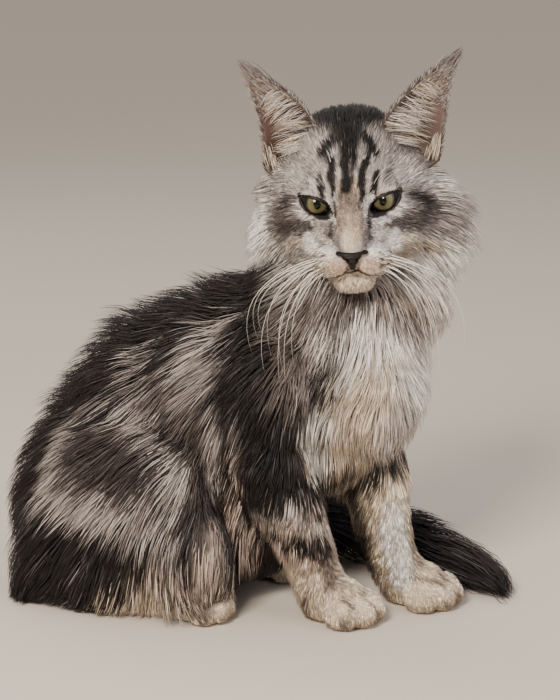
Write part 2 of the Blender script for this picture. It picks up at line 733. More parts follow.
WHISKER_SPOTS = (
    ((23.4, 20, -26.8), (20.4, 28, -25.8)), ((18, 31.5, -25), (15.4, 32.6, -24.2)),
    ((23, 28.5, -28.6), (20.6, 31, -28.4)), ((18, 33.8, -28.2), (15.4, 35, -27.8)),
    ((21.6, 31.5, -31.4), (19.6, 32.8, -31.6)), ((17.4, 34.2, -31.6), (15.6, 35, -31.4)),
)

HEAD_STROKES = (
    (Hue.CHARCOAL, ((0, -70, 20), (0, -56, 40), (0, -40, 50)), 22, 10, 0.95),
    (Hue.CHARCOAL, ((20, -33, 45), (0, -32, 50), (-20, -33, 45)), 6, 7, 0.9),
    (Hue.CHARCOAL, ((0, -64, 24), (0, -80, 4), (0, -84, -12)), 15, 14, 0.85),
    (Hue.WHITE, ((44, -8, -34), (48, -20, -44), (40, -24, -58)), 13, 9, 0.95, True),
    (Hue.WHITE, ((50, -16, -30), (60, -34, -34), (58, -40, -48)), 14, 8, 1.0, True),
    (Hue.WHITE, ((60, -34, -8), (62, -38, -20)), 10, 9, 0.8, True),
    (Hue.PEARL, ((32, -7, 12), (20, 5, 13), (12, 10, 9)), 4, 5, 0.7, True),
    (Hue.PEARL, ((40, -20, 22), (44, -20, 8)), 6, 7, 0.6, True),
    (Hue.SLATE, ((-24, -22, 33), (-33, -30, 24), (-42, -28, 16)), 4.5, 6, 0.65),
    (Hue.SLATE, ((26, -24, 27), (35, -24, 18)), 3.5, 6, 0.5),
    (Hue.SAND, ((0, 12, 9), (0, 24, 0), (0, 32, -10)), 7, 4, 0.85),
    (Hue.SMOKE, ((0.5, 12, 9), (0.8, 18, 3)), 2.2, 2.6, 0.5),
    (Hue.SLATE, ((5.8, 12.9, 6.9), (4.8, 20.4, 1.4)), 1.3, 1.6, 0.8),
    (Hue.SLATE, ((-0.3, 16, 6.1), (0.6, 24.2, -0.3)), 1.3, 1.6, 0.6),
    (Hue.SLATE, ((-4.5, 14, 6.6), (-3, 22.7, 0.3)), 1.4, 1.6, 0.8),
    (Hue.SLATE, ((3.1, 24.7, -1.3), (2.7, 29.4, -6.2)), 1.0, 1.5, 0.5),
    (Hue.SLATE, ((-1.7, 25.2, -1.4), (-2, 30.6, -7.4)), 1.0, 1.5, 0.5),
    (Hue.SLATE, ((6.2, 25, -3.6), (5.9, 30.3, -9.6)), 1.3, 1.6, 0.65, True),
    (Hue.SMOKE, ((7.6, 31.5, -14.5), (7.6, 33.5, -19)), 2.0, 2.4, 0.6, True),
    (Hue.CREAM, ((1.2, 35, -12.2), (1.4, 37.7, -18.9)), 2.4, 2.4, 0.7),
    (Hue.JET, ((0, -46, 45), (-0.7, -18.7, 42.4), (-0.3, -10, 37)), 9, 5, 0.92),
    (Hue.JET, ((-0.4, -10, 37), (-0.4, 0.2, 28.3), (-0.2, 4, 24)), 5.4, 2.2),
    (Hue.JET, ((-0.2, 4, 24), (0.4, 7.6, 20), (1.4, 11.1, 10)), 3.7, 2.0),
    (Hue.ASH, ((-2.2, 2, 27), (-1.6, 7.6, 18)), 0.5, 0.8, 0.7),
    (Hue.ASH, ((4.2, -6, 34), (4.4, 2, 26)), 0.5, 0.8, 0.6),
    (Hue.JET, ((9.6, 1, 26), (9.8, 3.9, 23.5), (10.5, 7.8, 15.8), (10, 7.8, 8.2)), 2.2, 1.6),
    (Hue.JET, ((15.4, -6.4, 29.8), (10, -8.7, 34.7)), 3.6, 2.0),
    (Hue.JET, ((13.4, -3.3, 26.8), (11, 2.2, 24.4)), 1.6, 1.2, 0.9),
    (Hue.JET, ((-11.5, 0.7, 25.3), (-8.8, 7.1, 19.6), (-7.8, 9, 11.3), (-8.5, 10.4, 6.7)), 2.3, 1.6),
    (Hue.JET, ((-11.5, -11, 36), (-15.6, -5.8, 28.4)), 3.6, 2.0),
    (Hue.JET, ((-14, -6, 30), (-11.5, 0.7, 25.3)), 1.2, 1.0, 0.8),
    (Hue.JET, ((16.9, 3.4, 17.5), (17, 6.9, 12.1), (16.9, 7.8, 6)), 1.7, 1.4),
    (Hue.JET, ((-16.9, 4, 16.4), (-15.6, 7.6, 9.3), (-14.8, 6.9, 6)), 2.1, 1.4),
    (Hue.CHARCOAL, ((-26, -2, 18), (-22.5, 4, 13)), 1.8, 1.8, 0.75),
    (Hue.SMOKE, ((26, -2, 17), (24.6, 2.6, 11.4)), 1.5, 1.8, 0.6),
    (Hue.SLATE, ((38, -4, -8), (44, -14, -16), (46, -20, -22)), 6.5, 5, 0.8),
    (Hue.SMOKE, ((23, 8, -10.5), (31, 4, -14), (39, -6, -17)), 6, 4, 0.85),
    (Hue.ASH, ((-46, -14, -12), (-55, -27, -20), (-60, -36, -26)), 9, 6, 0.9),
    (Hue.SLATE, ((-40, -8, -4), (-50, -20, -14)), 5, 5, 0.7),
    (Hue.SMOKE, ((-22, 14, -12), (-30.8, 4.1, -14.4), (-42.2, -7.4, -14)), 6, 4, 0.85),
    (Hue.SMOKE, ((-34.6, 3.8, -21), (-43, -12, -24), (-51.7, -23.7, -28)), 1.4, 2, 0.7),
    (Hue.CREAM, ((30.4, 10, -23), (36.6, -5, -27), (42.1, -14, -30)), 2.2, 2.4, 0.8, True),
    (Hue.TAN, ((-30.1, 8.2, -30.7), (-44.4, -18, -36), (-55.4, -30, -40)), 4, 5, 0.8),
    (Hue.ASH, ((31, 9, -28.5), (41, -14, -33), (49, -25, -36)), 3.5, 5, 0.7),
    (Hue.WHITE, ((14.9, 22.1, -17.8), (20.4, 19.1, -15.8), (26.7, 11.6, -17.7)), 2.6, 2.4, 0.9, True),
    (Hue.WHITE, ((12.9, 7.4, 1), (11.1, 14.5, -1.2), (10, 20.7, -4.6), (9.8, 23.3, -7)),
     1.2, 1.0, 0.95),
    (Hue.WHITE, ((-14.4, 6.4, 3.7), (-10.9, 11.3, 1.7), (-9.3, 18.3, -1.3), (-8.8, 23.1, -4.9)),
     1.2, 1.0, 0.95),
    (Hue.JET, ((9.3, 13.5, 2.8), (8.2, 18.7, -0.2), (8.4, 21.9, -3.1)), 1.0, 0.9, 0.95),
    (Hue.JET, ((-8.8, 10.1, 6.6), (-7.7, 14.5, 4), (-6.7, 18.7, 1.5), (-6.6, 22.1, -1.3)),
     1.0, 0.9, 0.95),
    (Hue.CHARCOAL, ((11.9, 21.7, -6.7), (11.8, 24.1, -11), (11.8, 23.7, -16.2)), 1.3, 1.4, 0.9),
    (Hue.UMBER, ((16.2, 21.3, -7.8), (14.7, 23.8, -13.5)), 1.6, 2.0, 0.6),
    (Hue.JET, ((-11, 21.6, -5), (-10.2, 22.4, -6.4), (-10.9, 24.4, -10.9)), 1.6, 1.2, 0.95),
    (Hue.SMOKE, ((-9, 28.3, -12.8), (-11.7, 22.9, -18.3)), 1.8, 2.0, 0.6),
    (Hue.WHITE, ((31.4, 2.6, -4.4), (28.5, 4.2, -8.4), (22.5, 12.2, -9.6)), 1.3, 1.2, 0.95),
    (Hue.WHITE, ((-30.8, 3, -3.8), (-28.3, 4, -7.6), (-24, 8, -9.8), (-18.3, 19, -9)), 1.6, 1.2, 0.95),
    (Hue.BLUSH, ((29, 4.4, 8.4), (24.2, 7.8, 7.4), (18.2, 7.8, 5.4)), 0.8, 0.9, 0.7, True),
    (Hue.CHARCOAL, ((35.8, -3.5, 2.1), (40.4, -6.4, -1.4)), 2.8, 3.0, 0.85),
    (Hue.CHARCOAL, ((-37.8, -4.4, 0.8), (-42.7, -9.3, -3.8), (-47.8, -17, -8)), 3.0, 3.0, 0.88),
    (Hue.WHITE, ((15, 32, -23), (26, 16, -25)), 4.4, 4, 0.9, True),
    (Hue.CREAM, ((16, 33, -31), (8, 37, -33)), 6, 5, 0.65, True),
    (Hue.FAWN, ((11.2, 36, -31), (4.5, 34.1, -33.6)), 2.4, 3, 0.7, True),
    (Hue.CREAM, ((5, 14, -48), (4, 29, -44)), 7, 7, 0.85, True),
    (Hue.SLATE, ((12.8, -5.8, -58.6), (0, 0.2, -59.1), (-12.8, -5.8, -58.6)), 5, 7, 0.8),
    (Hue.UMBER, ((0, 38, -39.6), (7, 35, -41), (14, 31, -41.4), (21, 23, -39.6)), 1.1, 1.0, 0.9, True),
    *((Hue.JET, spot, 0.8, 0.7, 1.0, True) for spot in WHISKER_SPOTS),
)


def resampled(points: np.ndarray, spacing: float) -> np.ndarray:
    """The same line with a point at least every so often.

    Args:
        points: Rows of x, y, z.
        spacing: Greatest distance from point to point.

    Returns:
        The new rows.
    """
    rows = [points[:1]]
    for start, end in zip(points, points[1:]):
        count = max(1, math.ceil(np.linalg.norm(end - start) / spacing))
        rows.append(start + (end - start) * (np.arange(1, count + 1) / count)[:, None])
    return np.concatenate(rows)


@dataclass
class Markings:
    """The tabby pattern: a base colour for each part, and strokes laid over it along the skin."""

    anatomy: Anatomy
    noise: Noise = field(default_factory=lambda: Noise(SEED))
    laid: dict = field(default_factory=dict)
    bases: dict = field(default_factory=lambda: {
        Part.TORSO: Hue.CHARCOAL, Part.NECK: Hue.PEARL, Part.HEAD: Hue.SILVER,
        Part.FORELEG_RIGHT: Hue.BLUSH, Part.FORELEG_LEFT: Hue.CREAM,
        Part.FOREPAW_RIGHT: Hue.CREAM, Part.FOREPAW_LEFT: Hue.CREAM,
        Part.HINDLEG_RIGHT: Hue.CHARCOAL, Part.HINDLEG_LEFT: Hue.CHARCOAL,
        Part.HINDFOOT_RIGHT: Hue.CREAM, Part.HINDFOOT_LEFT: Hue.CREAM,
        Part.TAIL: Hue.CHARCOAL, Part.EAR: Hue.SMOKE,
    })
    wearers: dict = field(default_factory=lambda: {
        "body": (Part.TORSO, Part.HINDLEG_RIGHT, Part.HINDLEG_LEFT, Part.FORELEG_RIGHT, Part.FORELEG_LEFT,
                 Part.NECK, Part.TAIL),
        "bib": (Part.NECK, Part.TORSO, Part.FORELEG_RIGHT, Part.FORELEG_LEFT),
        "leg": (Part.FORELEG_RIGHT, Part.FOREPAW_RIGHT, Part.FORELEG_LEFT, Part.FOREPAW_LEFT,
                Part.HINDFOOT_RIGHT),
        "head": (Part.HEAD,),
    })

    def lay(self, surface: "Surface") -> None:
        """Lays every stroke's line on the skin.

        Args:
            surface: The skin.
        """
        groups = {"body": BODY_STROKES, "bib": BIB_STROKES, "leg": LEG_STROKES, "head": HEAD_STROKES}
        for name, rows in groups.items():
            self.laid[name] = []
            for stroke in (Stroke(*row) for row in rows):
                points = np.array(stroke.points, float)
                lines = [points]
                if stroke.mirrored and name == "head":
                    lines.append(points * (-1.0, 1.0, 1.0))
                elif stroke.mirrored:
                    lines.append(points * (-1.0, 1.0, 1.0) + (2.0 * BODY_MIDLINE, 0.0, 0.0))
                for line in lines:
                    if name == "head":
                        line = self.anatomy.from_head(line)
                    self.laid[name].append((stroke, surface.nearest(resampled(line, 3.0))[0]))

    def near_line(self, places: np.ndarray, points: np.ndarray) -> np.ndarray:
        """Distance from each place to a line through points."""
        nearest = np.full(len(places), np.inf)
        for start, end in zip(points, points[1:]):
            along = end - start
            share = np.clip((places - start) @ along / max(along @ along, 1e-9), 0.0, 1.0)
            away = np.linalg.norm(places - start - share[:, None] * along, axis=1)
            nearest = np.minimum(nearest, away)
        return nearest

    def paint(self, colours: np.ndarray, places: np.ndarray, laid: list) -> None:
        """Lays strokes over colours.

        Args:
            colours: Linear colours, changed in place.
            places: Where each colour is.
            laid: The strokes with their lines, in order.
        """
        for stroke, line in laid:
            reach = stroke.radius + stroke.softness
            inside = np.all((places > line.min(axis=0) - reach) & (places < line.max(axis=0) + reach), axis=1)
            away = self.near_line(places[inside], line)
            low = stroke.radius - stroke.softness / 2
            share = (1.0 - smooth_step(low, reach, away)) * stroke.strength
            target = np.array(linear(stroke.hue.value)[:3])
            colours[inside] += (target - colours[inside]) * share[:, None]

    def at(self, places: np.ndarray, parts: np.ndarray) -> np.ndarray:
        """The coat's colour.

        Args:
            places: Places on the skin, in the working frame.
            parts: The number of the part that each is on.

        Returns:
            Linear colours.
        """
        table = np.array([linear(self.bases[part].value)[:3] for part in Part])
        colours = table[parts]
        warp = np.stack([self.noise.at(places + shift, 14.0) for shift in (0.0, 171.0, 353.0)], axis=1)
        fine = np.stack([self.noise.at(places + shift, 4.0) for shift in (0.0, 171.0, 353.0)], axis=1)
        for name, wearers in self.wearers.items():
            chosen = np.isin(parts, [part.value for part in wearers])
            wander = warp * 0.7 + fine * 1.3 if name == "head" else warp * 5.0
            part_colours = colours[chosen]
            self.paint(part_colours, (places + wander)[chosen], self.laid[name])
            colours[chosen] = part_colours
        return colours


@dataclass(frozen=True)
class Lie:
    """How the coat lies at one place.

    It has a direction, a length, how far its tips stand off, a width, how many tufts lie over one another,
    and how freely it hangs, from 0 where it hugs the body to 1 where it sets out straight.
    """

    place: tuple
    way: tuple
    length: float
    lift: float
    width: float = 1.0
    layers: float = 5.0
    free: float = 0.1


# Each row gives a Lie's fields in their order.
BODY_LIE = (
    ((0, -30, 236), (0, 0.8, -0.6), 32, 19, 0.78, 4.2, 0.3),
    ((0, 5, 214), (0, 1, -0.1), 36, 32, 0.78, 4.2, 0.3),
    ((0, 60, 188), (0, 0.95, -0.35), 38, 38, 0.78, 4.2, 0.3),
    ((0, 110, 148), (0, 0.8, -0.6), 40, 37, 0.78, 4.2, 0.3),
    ((0, 148, 100), (0, 0.4, -0.9), 40, 33, 0.78, 4.2, 0.3),
    ((0, 160, 50), (0, 0.3, -0.95), 42, 22, 0.85, 4.4, 0.4),
    ((46, -40, 180), (0.05, 0.5, -0.85), 30, 14, 0.75, 4.2),
    ((60, -40, 130), (0.05, 0.3, -0.95), 28, 13, 0.75, 4.2),
    ((58, 10, 165), (0.1, 0.75, -0.7), 34, 15, 0.75, 4.2, 0.15),
    ((66, 30, 110), (0.1, 0.6, -0.8), 34, 15, 0.75, 4.2, 0.15),
    ((56, 80, 130), (0.1, 0.75, -0.65), 36, 21, 0.75, 4.2, 0.2),
    ((56, 130, 80), (0.1, 0.6, -0.8), 40, 24, 0.8, 4.2, 0.3),
    ((80, 30, 115), (0.15, 0.4, -0.9), 30, 13, 0.75, 4.2),
    ((98, 60, 80), (0.1, 0.6, -0.8), 30, 13, 0.75, 4.2, 0.15),
    ((95, 100, 60), (0.1, 0.75, -0.65), 36, 17, 0.8, 4.2, 0.3),
    ((80, 120, 25), (0.8, 0.4, -0.55), 46, 16, 0.82, 4.6, 0.55),
    ((90, 60, 25), (0.85, 0.1, -0.6), 44, 13, 0.82, 4.6, 0.5),
    ((80, -20, 70), (0.1, 0.1, -1), 36, 10, 0.85, 5.0, 0.2),
    ((75, -22, 40), (0.15, 0.0, -1), 36, 9, 0.85, 5.4, 0.4),
    ((84, 20, 30), (0.6, -0.05, -0.85), 38, 10, 0.82, 5.2, 0.5),
    ((0, -20, 50), (0, 0.1, -1), 46, 12, 0.9, 4.4, 0.4),
    ((45, -10, 60), (0.15, 0.1, -1), 50, 14, 0.85, 4.8, 0.6),
    ((0, -125, 215), (0, -0.25, -1), 24, 13, 0.7, 4.4, 0.3),
    ((0, -130, 170), (0.35, -0.3, -0.85), 28, 17, 0.72, 4.4, 0.35),
    ((0, -112, 122), (0.2, -0.1, -1), 34, 18, 0.75, 4.6, 0.5),
    ((35, -110, 205), (0.5, -0.1, -0.8), 28, 17, 0.72, 4.4, 0.35),
    ((40, -90, 150), (0.4, 0.35, -0.85), 32, 16, 0.72, 4.4, 0.4),
    ((34, -76, 112), (-0.2, 0.0, -1), 32, 14, 0.75, 4.6, 0.5),
)

HEAD_LIE = (
    ((0, 34, -15), (0, -0.6, 0.8), 2.6, 0.6, 0.5, 3.0, 0.0),
    ((0, 14, 2), (0, -0.75, 0.65), 4.0, 0.9, 0.5, 3.0, 0.0),
    ((0, 4, 16), (0, -0.45, 0.9), 5.5, 1.4, 0.5, 3.2, 0.1),
    ((0, -8, 30), (0, -0.8, 0.6), 8, 3.0, 0.55, 3.4, 0.2),
    ((0, -34, 50), (0, -0.8, 0.5), 11, 4.5, 0.55, 4.0, 0.5),
    ((20, -36, 44), (0.2, -0.7, 0.6), 11, 5.5, 0.55, 4.2, 0.6),
    ((0, -66, 28), (0, -0.6, -0.8), 20, 8, 0.75, 4.0, 0.2),
    ((0, -84, -6), (0, -0.3, -0.95), 30, 12, 0.8, 4.2, 0.2),
    ((11, 20, -8), (0.6, -0.5, -0.6), 3.0, 0.7, 0.5, 3.0, 0.0),
    ((18, 6, 13), (0.35, -0.6, 0.7), 5.5, 1.6, 0.5, 3.2, 0.15),
    ((30, -6, 16), (0.55, -0.7, 0.45), 7.5, 2.5, 0.55, 3.4, 0.25),
    ((30, -18, 30), (0.3, -0.5, 0.8), 9, 3.4, 0.55, 3.8, 0.4),
    ((38, -24, 20), (0.5, -0.6, 0.6), 8, 2.6, 0.55, 3.8, 0.3),
    ((42, -20, 9), (0.85, -0.5, 0.1), 12, 4.4, 0.58, 4.2, 0.45),
    ((24, 12, -14), (0.8, -0.5, -0.35), 5.0, 1.2, 0.5, 3.2, 0.1),
    ((36, -4, -8), (0.85, -0.45, -0.15), 10, 3.4, 0.6, 4.0, 0.4),
    ((36, -6, -26), (0.8, -0.3, -0.5), 16, 6, 0.6, 4.4, 0.45),
    ((48, -26, 4), (0.95, -0.25, -0.1), 21, 10, 0.65, 4.8, 0.65),
    ((52, -34, -24), (0.9, -0.15, -0.5), 27, 11, 0.65, 5.0, 0.6),
    ((34, -30, -48), (0.45, -0.05, -0.95), 30, 11, 0.7, 4.8, 0.45),
    ((34, -66, 0), (0.35, -0.6, -0.75), 26, 12, 0.8, 4.2, 0.2),
    ((8, 37, -30), (0.85, -0.1, -0.55), 3.6, 0.9, 0.5, 3.0, 0.0),
    ((18, 29, -29), (0.85, -0.45, -0.3), 4.2, 1.2, 0.5, 3.4, 0.1),
    ((14, 28, -38), (0.7, -0.25, -0.75), 5.0, 1.4, 0.55, 3.2, 0.1),
    ((0, 31, -44), (0, 0.1, -1), 5.0, 1.6, 0.55, 3.4, 0.1),
    ((9, 27, -46), (0.4, 0.0, -1), 6.0, 2.0, 0.55, 3.4, 0.2),
    ((0, 12, -56), (0, -0.5, -0.85), 8, 2.2, 0.6, 4.2, 0.15),
    ((0, 24, -50), (0, -0.3, -1), 5, 1.3, 0.55, 3.8, 0.1),
    ((20, -4, -46), (0.45, -0.2, -0.9), 20, 7, 0.65, 4.6, 0.4),
)

LEFT_RUFF_LIE = (
    ((-54, -36, -4), (-1, -0.1, -0.15), 27, 13, 0.65, 4.8, 0.7),
    ((-58, -40, -26), (-0.95, 0.0, -0.5), 31, 13, 0.65, 4.8, 0.65),
    ((-50, -40, -46), (-0.65, 0.1, -0.9), 34, 12, 0.7, 4.8, 0.5),
)

TAIL_LINE = (
    (14, 134, 30, 13), (48, 142, 27, 13), (84, 120, 27, 13), (106, 80, 26, 13), (114, 30, 26, 13),
    (116, -20, 26, 12), (112, -64, 25, 11), (104, -104, 20, 9), (99, -126, 14, 6),
)


@dataclass
class Leg:
    """A foreleg's named points, as the solids have them."""

    elbow: tuple
    knee: tuple
    wrist: tuple
    toes: tuple

    def arm(self) -> list[Matrix]:
        """Upper arm and forearm."""
        return chain(((*self.elbow, 21), (*self.knee, 16), (*self.wrist, 14.5)))

    def paw(self) -> list[Matrix]:
        """A broad paw with four toes."""
        x, y = self.toes
        lumps = chain(((*self.wrist, 14.5), (x, y + 12, 15, 16), (x, y, 12.5, 16)), 4.0)
        for across, ahead, size in ((-16, -8, 8), (-6, -15, 8.6), (6, -15, 8.6), (16, -8, 8)):
            lumps.append(egg((x + across, y + ahead, 9.5), (size, size + 4, 9.5)))
        return lumps

    def lies(self) -> list[Lie]:
        """The coat's lie down the leg and over the paw."""
        made = []
        for (x, y, z), size, length in ((self.elbow, 24, 26), (self.knee, 19, 15), (self.wrist, 16, 9)):
            lift = length * 0.3
            width = 0.55 + length * 0.014
            made.append(Lie((x, y - size, z), (0, -0.05, -1), length * 0.85, lift, width, 3.6, 0.1))
            made.append(Lie((x - size, y, z), (-0.12, 0.2, -1), length, lift, width, 3.6, 0.15))
            made.append(Lie((x + size, y, z), (0.12, 0.2, -1), length, lift, width, 3.6, 0.15))
            made.append(Lie((x, y + size, z), (0, 0.5, -0.85), length * 1.4, lift * 1.3, width, 3.8, 0.45))
        x, y = self.toes
        made.append(Lie((x, y - 4, 27), (0, -0.85, -0.5), 7.0, 2.2, 0.65, 2.8, 0.1))
        made.append(Lie((x, y - 22, 12), (0, -0.4, -0.9), 4.6, 1.1, 0.62, 2.3))
        made.append(Lie((x - 20, y - 2, 12), (-0.4, -0.5, -0.8), 6.0, 1.8, 0.65, 2.5, 0.1))
        made.append(Lie((x + 20, y - 2, 12), (0.4, -0.5, -0.8), 6.0, 1.8, 0.65, 2.5, 0.1))
        return made


LEGS = {
    "right": Leg((-22, -38, 104), (-15, -52, 70), (-6, -60, 34), (-3, -78)),
    "left": Leg((52, -66, 104), (44, -82, 70), (46, -88, 34), (54, -106)),
}


class LieField:
    """The coat's lie everywhere on the body, from samples."""

    def __init__(self, anatomy: Anatomy) -> None:
        """Gathers the samples of the body, head and tail.

        Args:
            anatomy: Where the head sits.
        """
        body = self.mirrored(BODY_LIE, BODY_MIDLINE)
        for leg in LEGS.values():
            body += leg.lies()
        for side in (-1, 1):
            x = REAR_MIDLINE + side * 52
            body.append(Lie((x, 6, 24), (0, -0.9, -0.4), 7, 2, 0.65, 2.6))
            body.append(Lie((x, -12, 10), (0, -0.4, -0.9), 4.8, 1.1, 0.62, 2.3))
        tail = []
        for start, end in zip(TAIL_LINE, TAIL_LINE[1:]):
            here, there = np.array(start[:3], float), np.array(end[:3], float)
            length = 40 if start[3] > 11 else 62
            tail.append(Lie(tuple((here + there) / 2), tuple(there - here), length, 19, 0.85, 4.6, 0.45))
        self.sets = {"body": self.rows(body), "tail": self.rows(tail)}
        head = self.rows(self.mirrored(HEAD_LIE, 0.0) + [Lie(*row) for row in LEFT_RUFF_LIE])
        head[:, :3] = anatomy.from_head(head[:, :3])
        head[:, 3:6] = anatomy.turned(head[:, 3:6])
        self.sets["head"] = head

    def mirrored(self, samples: tuple, middle: float) -> list[Lie]:
        """The samples of one side, given as rows from the midline, and their mirror images."""
        made = []
        for lie in (Lie(*row) for row in samples):
            for side in ((1, -1) if lie.place[0] else (1,)):
                place = (middle + side * lie.place[0], *lie.place[1:])
                way = (side * lie.way[0], *lie.way[1:])
                made.append(replace(lie, place=place, way=way))
        return made

    def rows(self, samples: list[Lie]) -> np.ndarray:
        """The samples as rows of place, unit direction, length, lift, width, layers and freedom."""
        rows = np.array([(*lie.place, *lie.way, lie.length, lie.lift, lie.width, lie.layers, lie.free)
                         for lie in samples], float)
        rows[:, 3:6] = unit(rows[:, 3:6])
        return rows

    def at(self, places: np.ndarray, parts: np.ndarray) -> tuple[np.ndarray, np.ndarray]:
        """Direction and measures of the coat.

        Args:
            places: Places in the working frame.
            parts: The number of the part that each is on.

        Returns:
            Unit directions, and rows of length, lift, width, layers and freedom.
        """
        ways = np.zeros((len(places), 3))
        sizes = np.zeros((len(places), 5))
        groups = {"head": parts == Part.HEAD.value, "tail": parts == Part.TAIL.value}
        groups["body"] = ~groups["head"] & ~groups["tail"]
        for name, chosen in groups.items():
            rows = self.sets[name]
            soft = 20.0 if name == "head" else 60.0
            away = ((places[chosen, None, :] - rows[None, :, :3]) ** 2).sum(axis=2)
            weight = 1.0 / (away + soft) ** 2
            weight /= weight.sum(axis=1, keepdims=True)
            ways[chosen] = unit(weight @ rows[:, 3:6])
            sizes[chosen] = weight @ rows[:, 6:]
        return ways, sizes


@dataclass
class EarShape:
    """A cupped ear that leans out, with its opening forward. The cat turns each ear a little its own way."""

    side: int
    rows: int = 20
    columns: int = 16
    wall: float = 1.4

    def __post_init__(self) -> None:
        """Works out the ear's axes in the head's frame."""
        if self.side > 0:
            self.base, self.tip = Vector((36.0, -33.0, 22.0)), Vector((58.5, -46.0, 69.0))
            self.half_width, self.medial, self.cup, self.bulge, turned = 17.5, 1.4, 14.0, 5.4, 0.14
        else:
            self.base, self.tip = Vector((-38.4, -33.0, 24.0)), Vector((-62.5, -46.0, 69.0))
            self.half_width, self.medial, self.cup, self.bulge, turned = 19.4, 1.36, 12.5, 1.6, 0.28
        self.axis = (self.tip - self.base).normalized()
        self.height = (self.tip - self.base).length
        facing = Vector((self.side * turned, 0.95, 0.0))
        self.facing = (facing - self.axis * facing.dot(self.axis)).normalized()
        self.across = self.axis.cross(self.facing) * self.side

    def point(self, share: float, turn: float) -> Vector:
        """A place on the middle sheet: share of its height, turn from -1 outside to 1 by the crown."""
        taper = max(0.03, 1.0 - max(0.0, share))
        half_width = self.half_width * taper ** 0.6 * (1.0 + 2.2 * min(0.0, share))
        half_width *= self.medial if turn > 0.0 else 1.0
        cup = self.cup * taper ** 0.6
        bulge = self.bulge * math.sin(math.pi * min(1.0, max(0.0, share)))
        place = self.base + self.axis * (self.height * share) + self.across * (half_width * turn + bulge)
        return place - self.facing * (cup * (1.0 - turn * turn) - cup * 0.45)

    def build(self, anatomy: Anatomy) -> Object:
        """The ear as a thin closed shell.

        Args:
            anatomy: Where the head sits.

        Returns:
            The new object, in the working frame.
        """
        mesh = bmesh.new()
        bmesh.ops.create_grid(mesh, x_segments=self.columns, y_segments=self.rows, size=1.0)
        for vert in mesh.verts:
            share = -0.16 + 1.16 * (vert.co.y + 1.0) / 2.0
            vert.co = self.point(share, vert.co.x)
        bmesh.ops.solidify(mesh, geom=mesh.faces[:], thickness=self.wall)
        bmesh.ops.recalc_face_normals(mesh, faces=mesh.faces)
        bmesh.ops.transform(mesh, verts=mesh.verts, matrix=anatomy.head)
        return link(mesh, "ear")


